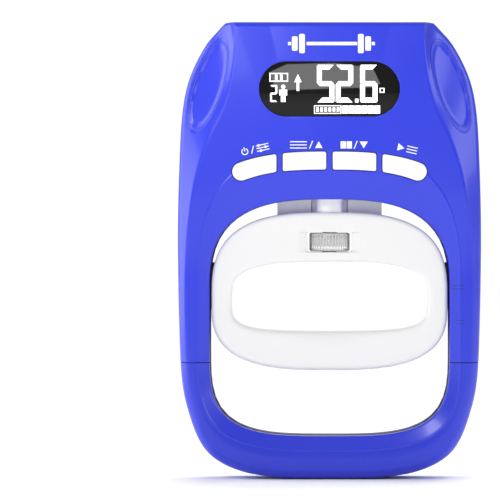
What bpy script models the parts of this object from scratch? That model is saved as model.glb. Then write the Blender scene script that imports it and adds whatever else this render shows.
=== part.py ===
"""Electronic hand dynamometer: a squeeze handle hangs on a load cell inside a closed grip loop.

The object stands on the flat of its grip bar. +Z runs up its length, -Y is the display side,
+X is to the reader's right. The origin is on the standing surface, under the middle of the bar.
"""

import math

import bmesh
import bpy
import numpy as np
from mathutils import Matrix, Vector

MM = 0.001
GAP = 0.3 * MM  # clearance between fixed neighbours

# ---- driving dimensions ----------------------------------------------------------------------
BODY_HEIGHT = 190.0 * MM
HALF_WIDTH = 63.2 * MM
FRONT_HEAD = 15.0 * MM  # display face, ahead of the parting plane
FRONT_LOOP = 13.0 * MM
REAR_HEAD = 17.5 * MM  # battery side, behind the parting plane
REAR_LOOP = 13.0 * MM
WALL = 2.0 * MM
SEAM_Z = 48.5 * MM  # where the grip covers meet the head covers
LOOP_Z = 78.8 * MM  # springing line of the arch over the opening
BLEND_LOW = 85.0 * MM  # the body thickens from loop to head between these heights
BLEND_HIGH = 125.0 * MM

# the opening in the covers, the dark frame rim just inside it, and the ridge around it
COVER_OPENING = (50.5 * MM, 116.9 * MM, 17.3 * MM)  # half width, top, bottom
RIM_OPENING = (49.6 * MM, 116.3 * MM, 17.9 * MM)
INNER_RIDGE = (53.9 * MM, 136.8 * MM, 12.7 * MM)
LOWER_CENTRE_Z = 53.9 * MM
ARCH_POWER = 2.8  # superellipse powers of the upper and lower half of the opening
BOWL_POWER = 3.5
BEVEL_DROP = 2.0 * MM  # the face falls this far from the ridge to the opening

# half outlines, from the top centre down to the bottom centre
OUTLINE = [
    (45.0, 188.2), (51.9, 180.0), (58.4, 166.7), (61.4, 152.0), (62.6, 130.0), (63.2, 100.0),
    (62.7, 66.0), (61.6, 41.5), (58.7, 27.4), (53.8, 15.0), (46.7, 7.5), (35.0, 2.5), (19.0, 0.0),
]
OUTLINE_TOP = (41.5, 190.0)
OUTLINE_CORNER = (43.4, 189.7)
OUTER_RIDGE = [
    (39.2, 188.6), (39.5, 181.0), (40.8, 168.0), (44.0, 154.5), (50.6, 141.0), (56.0, 126.5),
    (59.6, 108.0), (61.1, 88.0), (61.0, 66.0), (59.8, 41.5), (56.9, 28.0), (52.2, 16.6),
    (45.6, 9.9), (34.6, 5.2), (19.0, 2.8),
]
RIDGE_RISE = 0.8 * MM  # the shoulder ridges stand this far above the display face
SHOULDER_DROP = 10.5 * MM
SHOULDER_RUN = 8.0 * MM

# handle
HANDLE_HALF_WIDTH = 49.2 * MM
HANDLE_TOP = 111.0 * MM
HANDLE_BOTTOM = 45.1 * MM
HANDLE_MIDS = (75.3 * MM, 73.0 * MM)  # springing lines of its upper and lower halves
HANDLE_DEPTH = 10.5 * MM  # half
HOLE_HALF_WIDTH = 41.0 * MM
HOLE_TOP = 90.2 * MM
HOLE_BOTTOM = 61.2 * MM
HOLE_MID = 73.6 * MM

# adjusting screw and thumb wheel
SCREW_RADIUS = 3.0 * MM
SCREW_BORE = 3.4 * MM
WHEEL_RADIUS = 8.2 * MM
WHEEL_LOW = 94.8 * MM
WHEEL_HIGH = 101.5 * MM
WINDOW = (18.6 * MM, 94.3 * MM, 102.8 * MM)  # width, bottom, top
SCREW_FOOT = 92.4 * MM
SCREW_TOP = 164.0 * MM
STEM_RADIUS = 7.7 * MM
TONGUE = (43.6 * MM, 5.0 * MM, 104.0 * MM, 130.5 * MM)  # width, thickness, bottom, top
SPINE = (20.0 * MM, 9.2 * MM)  # width and rear face of the rib that joins the tongue's wings

# load cell and frame
FRAME_HALF = 4.0 * MM
FRAME_BAND = 11.0 * MM
CELL = (66.0 * MM, 10.0 * MM, 135.0 * MM, 149.0 * MM)  # length, depth, bottom, top
POST_X = 28.0 * MM

# display, board and buttons
LENS = (58.2 * MM, 22.6 * MM, 162.2 * MM)  # width, height, centre height
BOARD = (76.0 * MM, 126.0 * MM, 179.0 * MM, -7.4 * MM, -5.8 * MM)
BUTTON_ARC = (62.8 * MM, 53.7 * MM)  # half width and rise of the arc the buttons follow
BUTTON_HALF = 3.75 * MM
BUTTON_SPANS = {
    "button_power": (-36.6 * MM, -22.0 * MM),
    "button_up": (-19.4 * MM, -1.35 * MM),
    "button_down": (1.35 * MM, 19.4 * MM),
    "button_start": (22.0 * MM, 36.6 * MM),
}
SWITCH_AT = {
    "power": (-30.5 * MM, 130.2 * MM),
    "up": (-12.4 * MM, 132.2 * MM),
    "down": (12.4 * MM, 132.2 * MM),
    "start": (30.5 * MM, 130.2 * MM),
}

# batteries and their door
CELL_AAA = (5.25 * MM, 44.5 * MM)
BATTERY_Y = 10.4 * MM
BATTERY_Z = (165.6 * MM, 176.9 * MM)
TRAY = (52.0 * MM, 158.8 * MM, 183.7 * MM, 3.9 * MM, 15.2 * MM)
DOOR = (54.6 * MM, 157.4 * MM, 184.4 * MM, 1.5 * MM)

# cover screws, as (x, z): head, arms and grip
SCREWS = [
    (-34.0, 183.5), (34.0, 183.5), (-47.0, 131.0), (47.0, 131.0),
    (-55.6, 66.0), (55.6, 66.0), (-30.0, 13.8), (30.0, 13.8),
]
SCREW_HEAD_RADIUS = 2.6 * MM
SCREW_SHANK_RADIUS = 1.3 * MM

COLOURS = {
    "shell_blue": ((0.045, 0.065, 0.70), 0.32, 0.0),
    "handle_white": ((0.86, 0.86, 0.86), 0.35, 0.0),
    "button_white": ((0.90, 0.90, 0.90), 0.4, 0.0),
    "frame_black": ((0.012, 0.012, 0.02), 0.5, 0.3),
    "lens_dark": ((0.02, 0.02, 0.02), 0.08, 0.0),
    "lcd_black": ((0.015, 0.015, 0.018), 0.25, 0.0),
    "grey_plastic": ((0.55, 0.55, 0.55), 0.4, 0.0),
    "board_green": ((0.02, 0.18, 0.06), 0.5, 0.0),
    "black_plastic": ((0.02, 0.02, 0.02), 0.45, 0.0),
    "steel": ((0.60, 0.60, 0.60), 0.3, 1.0),
    "bright_metal": ((0.82, 0.82, 0.83), 0.2, 1.0),
    "aluminium": ((0.72, 0.73, 0.75), 0.35, 1.0),
    "brass": ((0.75, 0.58, 0.25), 0.3, 1.0),
    "battery_wrap": ((0.05, 0.05, 0.05), 0.35, 0.2),
    "lead_red": ((0.6, 0.02, 0.02), 0.5, 0.0),
    "lead_black": ((0.02, 0.02, 0.02), 0.5, 0.0),
    "gauge_foil": ((0.70, 0.45, 0.12), 0.4, 0.0),
}


# ---- scene helpers ---------------------------------------------------------------------------
def clear_scene():
    """Removes every object, and makes the part's two collections."""
    for obj in list(bpy.data.objects):
        bpy.data.objects.remove(obj, do_unlink=True)
    for name in ("hand_dynamometer", "cutters"):
        collection = bpy.data.collections.new(name)
        bpy.context.scene.collection.children.link(collection)


def material(name):
    """The Principled material of that name, made the first time it is asked for."""
    found = bpy.data.materials.get(name)
    if found:
        return found
    colour, roughness, metallic = COLOURS[name]
    made = bpy.data.materials.new(name)
    made.use_nodes = True
    shader = made.node_tree.nodes["Principled BSDF"]
    shader.inputs["Base Color"].default_value = (*colour, 1.0)
    shader.inputs["Roughness"].default_value = roughness
    shader.inputs["Metallic"].default_value = metallic
    return made


def add_object(name, mesh, finish, location=(0, 0, 0), rotation=(0, 0, 0)):
    """Links a mesh as a named part with its material."""
    obj = bpy.data.objects.new(name, mesh)
    obj.location = location
    obj.rotation_euler = rotation
    obj.data.materials.append(material(finish))
    bpy.data.collections["hand_dynamometer"].objects.link(obj)
    return obj


def mesh_from(bm, name):
    """Turns a bmesh into a mesh with outward normals, shaded smooth except at real edges."""
    bmesh.ops.recalc_face_normals(bm, faces=bm.faces)
    mesh = bpy.data.meshes.new(name)
    bm.to_mesh(mesh)
    bm.free()
    mesh.shade_smooth()
    mesh.set_sharp_from_angle(angle=math.radians(35))
    return mesh


def block(name, finish, low, high, bevel=0.0):
    """A box between two corners, its edges rounded by bevel if that is given."""
    low, high = Vector(low), Vector(high)
    bm = bmesh.new()
    bmesh.ops.create_cube(bm, size=1.0)
    bmesh.ops.scale(bm, vec=high - low, verts=bm.verts)
    obj = add_object(name, mesh_from(bm, name), finish, (low + high) / 2)
    if bevel:
        edge = obj.modifiers.new("rounded_edges", "BEVEL")
        edge.width = bevel
        edge.segments = 2
    return obj


AXIS_TURN = {"X": (0, math.pi / 2, 0), "Y": (-math.pi / 2, 0, 0), "Z": (0, 0, 0)}


def rod(name, finish, radius, length, centre, axis="Z", sides=24):
    """A cylinder about centre, along one axis."""
    bm = bmesh.new()
    bmesh.ops.create_cone(
        bm, cap_ends=True, segments=sides, radius1=radius, radius2=radius, depth=length
    )
    return add_object(name, mesh_from(bm, name), finish, centre, AXIS_TURN[axis])


def turned(name, finish, profile, location, rotation=(0, 0, 0), steps=24):
    """A turned piece: the (radius, height) profile, outer side first from the top, about local Z."""
    mesh = bpy.data.meshes.new(name)
    points = [(radius, 0.0, height) for radius, height in profile]
    closed = profile[0][0] > 0
    edges = [(i, i + 1) for i in range(len(points) - 1)]
    if closed:
        edges.append((len(points) - 1, 0))
    mesh.from_pydata(points, edges, [])
    obj = add_object(name, mesh, finish, location, rotation)
    screw = obj.modifiers.new("turned", "SCREW")
    screw.axis = "Z"
    screw.steps = steps
    screw.render_steps = steps
    screw.use_merge_vertices = True
    screw.merge_threshold = 0.00001
    screw.use_smooth_shade = True
    return obj


def plate(name, finish, outline, y_front, y_back):
    """A flat piece parallel to the display: the (x, z) outline, filled and extruded between two depths."""
    curve = bpy.data.curves.new(name, "CURVE")
    curve.dimensions = "2D"
    curve.fill_mode = "BOTH"
    curve.extrude = (y_back - y_front) / 2
    spline = curve.splines.new("POLY")
    spline.points.add(len(outline) - 1)
    for point, (x, z) in zip(spline.points, outline):
        point.co = (x, z, 0.0, 1.0)
    spline.use_cyclic_u = True
    flat = bpy.data.objects.new(name + "_outline", curve)
    bpy.context.scene.collection.objects.link(flat)
    bpy.context.view_layer.update()
    mesh = bpy.data.meshes.new_from_object(flat.evaluated_get(bpy.context.evaluated_depsgraph_get()))
    bpy.data.objects.remove(flat)
    mesh.name = name
    bm = bmesh.new()
    bm.from_mesh(mesh)
    bmesh.ops.remove_doubles(bm, verts=bm.verts, dist=0.00001)
    bmesh.ops.rotate(bm, matrix=Matrix.Rotation(math.pi / 2, 3, "X"), verts=bm.verts)
    bpy.data.meshes.remove(mesh)
    return add_object(name, mesh_from(bm, name), finish, (0, (y_front + y_back) / 2, 0))


def wire(name, finish, route, radius, steps=4, roundness=1):
    """A round lead along a smooth route of points."""
    curve = bpy.data.curves.new(name, "CURVE")
    curve.dimensions = "3D"
    curve.bevel_depth = radius
    curve.bevel_resolution = roundness
    curve.use_fill_caps = True
    points = smooth(np.array(route), steps)
    spline = curve.splines.new("POLY")
    spline.points.add(len(points) - 1)
    for point, place in zip(spline.points, points):
        point.co = (*place, 1.0)
    obj = bpy.data.objects.new(name, curve)
    obj.data.materials.append(material(finish))
    bpy.data.collections["hand_dynamometer"].objects.link(obj)
    return obj


def combine(target, operation, *tools):
    """Cuts or joins helper solids in one Boolean modifier, and puts the helpers away."""
    parts = bpy.data.collections["hand_dynamometer"]
    group = bpy.data.collections.new(f"{target.name}_{operation.lower()}")
    bpy.data.collections["cutters"].children.link(group)
    for tool in tools:
        tool.hide_render = True
        tool.display_type = "WIRE"
        parts.objects.unlink(tool)
        group.objects.link(tool)
    modifier = target.modifiers.new(operation.lower(), "BOOLEAN")
    modifier.operation = operation
    modifier.operand_type = "COLLECTION"
    modifier.collection = group
    return target


# ---- curves ----------------------------------------------------------------------------------
def smooth(points, steps):
    """A Catmull-Rom curve through the points, with so many steps to each span."""
    points = np.asarray(points, float)
    ends = np.vstack([2 * points[0] - points[1], points, 2 * points[-1] - points[-2]])
    t = np.linspace(0, 1, steps, endpoint=False)[:, None]
    spans = []
    for a, b, c, d in zip(ends[:-3], ends[1:-2], ends[2:-1], ends[3:]):
        spans.append(
            0.5 * (2 * b + (c - a) * t + (2 * a - 5 * b + 4 * c - d) * t**2 + (3 * b - a - 3 * c + d) * t**3)
        )
    return np.vstack([*spans, points[-1:]])


def mirrored(half):
    """Closes a half outline, given from top to bottom on the +X side, with its mirror image."""
    half = np.asarray(half, float)
    left = half[::-1] * (-1, 1)
    return np.vstack([half, left])


def superellipse_loop(half_width, top, bottom, upper_mid, lower_mid, powers, steps=48):
    """A loop of two superellipse halves, |x/a|^n + |z/b|^n = 1, joined by straight sides."""
    t = np.linspace(math.pi / 2, 0, steps)
    upper = np.column_stack([
        half_width * np.cos(t) ** (2 / powers[0]),
        upper_mid + (top - upper_mid) * np.sin(t) ** (2 / powers[0]),
    ])
    lower = np.column_stack([
        half_width * np.cos(t) ** (2 / powers[1]),
        lower_mid - (lower_mid - bottom) * np.sin(t) ** (2 / powers[1]),
    ])[::-1]
    return mirrored(np.vstack([upper, lower]))


def opening_loop(size):
    half_width, top, bottom = size
    return superellipse_loop(half_width, top, bottom, LOOP_Z, LOWER_CENTRE_Z, (ARCH_POWER, BOWL_POWER))


def reach(loop, origin, direction):
    """How far a ray from origin goes before it meets the closed loop."""
    start = loop
    edge = np.roll(loop, -1, axis=0) - start
    across = direction[0] * edge[:, 1] - direction[1] * edge[:, 0]
    across[np.abs(across) < 1e-15] = 1e-15
    offset = start - origin
    distance = (offset[:, 0] * edge[:, 1] - offset[:, 1] * edge[:, 0]) / across
    share = (offset[:, 0] * direction[1] - offset[:, 1] * direction[0]) / across
    hits = distance[(share >= -1e-9) & (share <= 1 + 1e-9) & (distance > 0)]
    return hits.max()


def station_rays(loop, low, high, count):
    """Rays across the body through evenly spaced points of the loop with z between low and high.

    Above the springing line they fan out from its middle, below the seam from the seam's middle,
    and between the two they are level. They run from the right-hand end to the left-hand end.
    """
    step = np.vstack([loop[1:], loop[:1]]) - loop
    travelled = np.concatenate([[0], np.cumsum(np.hypot(*step.T))])
    wide = np.vstack([loop, loop[:1]])
    fine = np.linspace(0, travelled[-1], 4000)
    points = np.column_stack([np.interp(fine, travelled, wide[:, k]) for k in (0, 1)])
    inside = points[(points[:, 1] >= low) & (points[:, 1] <= high)]
    middle = LOOP_Z if high > SEAM_Z + MM else SEAM_Z
    angle = np.arctan2(inside[:, 1] - middle, inside[:, 0])
    if high <= SEAM_Z + MM:
        angle = -angle
    else:
        angle = np.where(angle < -math.pi / 2, angle + 2 * math.pi, angle)
    inside = inside[np.argsort(angle)]
    travelled = np.concatenate([[0], np.cumsum(np.hypot(*np.diff(inside, axis=0).T))])
    evenly = np.linspace(0, travelled[-1], count)
    picked = np.column_stack([np.interp(evenly, travelled, inside[:, k]) for k in (0, 1)])
    picked[0, 1] = picked[-1, 1] = low if high > SEAM_Z + MM else high
    if high > SEAM_Z + MM:
        corners = np.array([OUTER_RIDGE[0], OUTLINE_CORNER]) * MM
        corners = np.vstack([corners, corners * (-1, 1)])
        turn = np.arctan2(picked[:, 1] - middle, picked[:, 0])
        aims = np.arctan2(corners[:, 1] - middle, corners[:, 0])
        clear = np.abs(turn[:, None] - aims).min(axis=1) > math.radians(1.2)
        picked = np.vstack([picked[clear], corners])
        turn = np.concatenate([turn[clear], aims])
        turn = np.where(turn < -math.pi / 2, turn + 2 * math.pi, turn)
        picked = picked[np.argsort(turn)]
    rays = []
    for x, z in picked:
        if z > LOOP_Z:
            origin = np.array([0.0, LOOP_Z])
        elif z < SEAM_Z - GAP:
            origin = np.array([0.0, SEAM_Z])
        else:
            origin = np.array([0.0, z])
        direction = np.array([x, z]) - origin
        rays.append((origin, direction / np.hypot(*direction)))
    return rays


def loft(name, finish, sections, closed=False):
    """Skins a row of like sections, each a closed ring of points, and caps the two ends."""
    bm = bmesh.new()
    rings = [[bm.verts.new(point) for point in section] for section in sections]
    count = len(rings[0])
    pairs = list(zip(rings, rings[1:]))
    if closed:
        pairs.append((rings[-1], rings[0]))
    for ring, following in pairs:
        for i in range(count):
            j = (i + 1) % count
            bm.faces.new((ring[i], ring[j], following[j], following[i]))
    if not closed:
        bm.faces.new(rings[0])
        bm.faces.new(rings[-1])
    return add_object(name, mesh_from(bm, name), finish)


# ---- the blue covers -------------------------------------------------------------------------
def body_loops():
    outline = np.array(OUTLINE) * MM
    ridge = np.array(OUTER_RIDGE) * MM
    top, corner = np.array(OUTLINE_TOP) * MM, np.array(OUTLINE_CORNER) * MM
    rounded = smooth(outline, 6)
    return {
        "outline": mirrored(np.vstack([(0, top[1]), top, corner, rounded, (0, 0)])),
        "ridge": mirrored(np.vstack([(0, ridge[0, 1]), smooth(ridge, 6), (0, ridge[-1, 1])])),
        "opening": opening_loop(COVER_OPENING),
        "inner_ridge": opening_loop(INNER_RIDGE),
    }


def headness(z):
    """0 on the loop, 1 on the head, with a smooth step between."""
    t = min(max((z - BLEND_LOW) / (BLEND_HIGH - BLEND_LOW), 0.0), 1.0)
    return t * t * (3 - 2 * t)


def front_depth(z):
    return FRONT_LOOP + (FRONT_HEAD - FRONT_LOOP) * headness(z)


def rear_depth(z):
    return REAR_LOOP + (REAR_HEAD - REAR_LOOP) * headness(z)


def in_space(ray, profile):
    """Turns (reach, y) pairs on a ray into points."""
    origin, direction = ray
    return [
        (origin[0] + direction[0] * r, y, origin[1] + direction[1] * r) for r, y in profile
    ]


def front_section(ray, loops):
    """Wall section of the front covers: opening wall, bevel, face, shoulder and side, then back inside."""
    origin, direction = ray
    r0, r1, r2, r3 = (
        reach(loops[key], origin, direction) for key in ("opening", "inner_ridge", "ridge", "outline")
    )
    height = [origin[1] + direction[1] * r for r in (r0, r1, r2, r3)]
    beside = min(max((abs(direction[0] * r2) - 25 * MM) / (14 * MM), 0.0), 1.0)
    rise = RIDGE_RISE * beside * headness(height[2])
    y0 = -(front_depth(height[0]) - BEVEL_DROP)
    y1 = -front_depth(height[1])
    y2 = -(front_depth(height[2]) + rise)
    drop = SHOULDER_DROP * (1 - math.exp(-(r3 - r2) / SHOULDER_RUN))
    y3 = y2 + drop
    bevel = math.atan2(y0 - y1, r1 - r0)
    slope = math.atan2(y3 - y2, r3 - r2)
    return in_space(ray, [
        (r0, -FRAME_HALF - GAP), (r0, y0), (r1, y1), (r2, y2), (r3, y3), (r3, -GAP / 2),
        (r3 - WALL, -GAP / 2),
        (r3 - WALL, y3 + WALL * math.tan((math.pi / 2 - slope) / 2)),
        (r2 - WALL * math.tan(slope / 2), y2 + WALL),
        (r1 + WALL * math.tan(bevel / 2), y1 + WALL),
        (r0 + WALL, y0 + WALL * math.tan((math.pi / 2 - bevel) / 2)),
        (r0 + WALL, -FRAME_HALF - GAP),
    ])


def arc(centre_r, centre_y, radius, start, end, steps=3):
    turn = np.linspace(math.radians(start), math.radians(end), steps)
    return [(centre_r + radius * math.cos(a), centre_y + radius * math.sin(a)) for a in turn]


def rear_section(ray, loops):
    """Wall section of the rear covers, with a rounded inner and outer edge."""
    origin, direction = ray
    r0, r3 = (reach(loops[key], origin, direction) for key in ("opening", "outline"))
    inner_round, outer_round = 3.2 * MM, 5.0 * MM
    y_in = rear_depth(origin[1] + direction[1] * r0)
    y_out = rear_depth(origin[1] + direction[1] * r3)
    return in_space(ray, [
        (r3, GAP / 2),
        *arc(r3 - outer_round, y_out - outer_round, outer_round, 0, 90),
        *arc(r0 + inner_round, y_in - inner_round, inner_round, 90, 180),
        (r0, FRAME_HALF + GAP),
        (r0 + WALL, FRAME_HALF + GAP),
        *arc(r0 + inner_round, y_in - inner_round, inner_round - WALL, 180, 90),
        *arc(r3 - outer_round, y_out - outer_round, outer_round - WALL, 90, 0),
        (r3 - WALL, GAP / 2),
    ])


def stadium(width, height, centre_z, steps=10):
    """A flat bar with round ends, as (x, z) points."""
    radius = height / 2
    turn = np.linspace(-math.pi / 2, math.pi / 2, steps)
    right = np.column_stack([width / 2 - radius + radius * np.cos(turn), centre_z + radius * np.sin(turn)])
    return np.vstack([right, (right - (0, centre_z)) * (-1, -1) + (0, centre_z)])


def button_outline(start, end, grow=0.0, steps=7):
    """A button that follows the arc over the opening: square at its inner end, round at the outer one."""
    a, b = BUTTON_ARC
    half = BUTTON_HALF + grow
    sign = 1 if end > 0 else -1
    near, far = sorted((abs(start), abs(end)))
    rounded = far > 30 * MM
    x = np.linspace(near - grow, far if rounded else far + grow, steps)
    z = LOOP_Z + b * (1 - (x / a) ** ARCH_POWER) ** (1 / ARCH_POWER)
    slope = np.gradient(z, x)
    lean = (np.linspace(0, 1, steps) if rounded else np.zeros(steps)) * np.arctan(slope)
    normal = np.column_stack([-np.sin(lean), np.cos(lean)])
    middle = np.column_stack([x, z])
    upper, lower = middle + half * normal, middle - half * normal
    tip = np.empty((0, 2))
    if rounded:
        turn = np.linspace(math.pi / 2, -math.pi / 2, 9)[1:-1] + lean[-1]
        tip = middle[-1] + half * np.column_stack([np.cos(turn), np.sin(turn)])
    outline = np.vstack([upper, tip, lower[::-1]])
    return outline * (sign, 1)


def recess_depth(z):
    """The screws are all of one length, so their heads sink deeper where the body is thicker."""
    return 3.2 * MM + rear_depth(z) - REAR_LOOP


def screw_bosses(cover, side):
    """Joins the screw posts to a cover, then drills them: clearance and recess behind, pilot in front."""
    grip = cover.name.startswith("grip")
    holes, posts = [], []
    for number, (x, z) in enumerate(SCREWS, 1):
        if (z * MM < SEAM_Z) != grip:
            continue
        x, z = x * MM, z * MM
        through_frame = number > 4
        inner = FRAME_HALF + GAP if through_frame else GAP / 2
        label = f"{side}_{number}"
        if side == "front":
            face = front_depth(z) - (1.7 * MM if through_frame else 1.1 * MM)
            middle = (x, -(face + inner) / 2, z)
            posts.append(rod("post_" + label, "shell_blue", 3.5 * MM, face - inner, middle, "Y", 16))
            deep = FRONT_LOOP - 2.2 * MM
            middle = (x, -deep / 2, z)
            holes.append(rod("pilot_" + label, "shell_blue", SCREW_SHANK_RADIUS + GAP, deep, middle, "Y", 12))
        else:
            face = rear_depth(z) - 0.8 * MM
            middle = (x, (face + inner) / 2, z)
            posts.append(rod("post_" + label, "shell_blue", 3.9 * MM, face - inner, middle, "Y", 16))
            middle = (x, 20 * MM, z)
            holes.append(rod("clear_" + label, "shell_blue", SCREW_SHANK_RADIUS + GAP, 40 * MM, middle, "Y", 12))
            recess = recess_depth(z)
            surface = rear_depth(z)
            holes.append(
                rod("recess_" + label, "shell_blue", SCREW_HEAD_RADIUS + GAP, recess + 4 * MM,
                    (x, surface - recess + (recess + 4 * MM) / 2, z), "Y", 16)
            )
    combine(cover, "UNION", *posts)
    combine(cover, "DIFFERENCE", *holes)


def make_covers():
    loops = body_loops()
    seam = GAP / 2
    head_rays = station_rays(loops["ridge"], SEAM_Z + seam, BODY_HEIGHT, 65)
    grip_rays = station_rays(loops["ridge"], 0.0, SEAM_Z - seam, 31)
    front = loft("front_cover", "shell_blue", [front_section(ray, loops) for ray in head_rays])
    grip_front = loft("grip_front_cover", "shell_blue", [front_section(ray, loops) for ray in grip_rays])
    rear = loft("rear_cover", "shell_blue", [rear_section(ray, loops) for ray in head_rays])
    grip_rear = loft("grip_rear_cover", "shell_blue", [rear_section(ray, loops) for ray in grip_rays])

    for cover, side in ((front, "front"), (grip_front, "front"), (rear, "rear"), (grip_rear, "rear")):
        screw_bosses(cover, side)

    lens_hole = plate("lens_hole", "shell_blue",
                      stadium(LENS[0] + 2 * GAP, LENS[1] + 2 * GAP, LENS[2]), -20 * MM, -8 * MM)
    button_holes = [
        plate(name + "_hole", "shell_blue", button_outline(*span, grow=GAP), -20 * MM, -8 * MM)
        for name, span in BUTTON_SPANS.items()
    ]
    stem_room = STEM_RADIUS + 0.5 * MM
    front_notch = rod("front_stem_notch", "shell_blue", stem_room, 12 * MM, (0, 0, 118 * MM), "Z", 24)
    rear_notch = block("rear_spine_notch", "shell_blue",
                       (-SPINE[0] / 2 - 0.5 * MM, 0, 112 * MM),
                       (SPINE[0] / 2 + 0.5 * MM, SPINE[1] + 0.5 * MM, 122 * MM))
    door_width, door_low, door_high, _ = DOOR
    door_hole = block(
        "door_hole", "shell_blue",
        (-door_width / 2 - GAP, 12 * MM, door_low - GAP), (door_width / 2 + GAP, 20 * MM, door_high + GAP),
    )
    combine(front, "DIFFERENCE", lens_hole, *button_holes, front_notch)
    combine(rear, "DIFFERENCE", rear_notch, door_hole)
    return loops, head_rays, grip_rays


# ---- the dark frame inside the loop ----------------------------------------------------------
def make_frame(loops, head_rays, grip_rays):
    """A closed metal loop whose rim shows in the opening. It carries the guide rails and the load cell."""
    rim = opening_loop(RIM_OPENING)
    sections = []
    for ray in [*head_rays, *grip_rays[::-1]]:
        inner = reach(rim, *ray)
        outer = min(inner + FRAME_BAND, reach(loops["outline"], *ray) - WALL - 1.0 * MM)
        sections.append(in_space(ray, [
            (inner, -FRAME_HALF), (outer, -FRAME_HALF), (outer, FRAME_HALF), (inner, FRAME_HALF),
        ]))
    frame = loft("loop_frame", "frame_black", sections, closed=True)
    bridge = block("bridge", "frame_black",
                   (-33 * MM, -10.3 * MM, 119.3 * MM), (33 * MM, 14 * MM, 124.5 * MM))
    joined = [bridge]
    holes = []
    for side in (-1, 1):
        x = side * POST_X
        joined.append(block(f"post_{side}", "frame_black",
                            (x - 4 * MM, -4.6 * MM, 122 * MM), (x + 4 * MM, 4.6 * MM, CELL[2] - GAP)))
        low, high = sorted((side * 47.3 * MM, side * 51.5 * MM))
        joined.append(block(f"rail_{side}", "frame_black",
                            (low, -2.8 * MM, 70.5 * MM), (high, 2.8 * MM, 90.0 * MM)))
        holes.append(rod(f"bolt_bore_{side}", "frame_black", 2.3 * MM, 16 * MM, (x, 0, 130 * MM), "Z", 12))
    for number, (x, z) in enumerate(SCREWS[4:], 5):
        holes.append(rod(f"frame_hole_{number}", "frame_black", SCREW_SHANK_RADIUS + GAP, 20 * MM,
                         (x * MM, 0, z * MM), "Y", 12))
    width, thickness, _, _ = TONGUE
    slot = block("tongue_slot", "frame_black",
                 (-width / 2 - 0.4 * MM, -thickness / 2 - 0.4 * MM, 110 * MM),
                 (width / 2 + 0.4 * MM, thickness / 2 + 0.4 * MM, 130 * MM))
    spine_slot = block("spine_slot", "frame_black",
                       (-SPINE[0] / 2 - 0.4 * MM, -1 * MM, 110 * MM),
                       (SPINE[0] / 2 + 0.4 * MM, SPINE[1] + 0.4 * MM, 130 * MM))
    stem_hole = rod("stem_hole", "frame_black", STEM_RADIUS + 0.5 * MM, 20 * MM, (0, 0, 120 * MM), "Z", 24)
    combine(frame, "UNION", *joined)
    combine(frame, "DIFFERENCE", slot, spine_slot, stem_hole, *holes)


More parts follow.
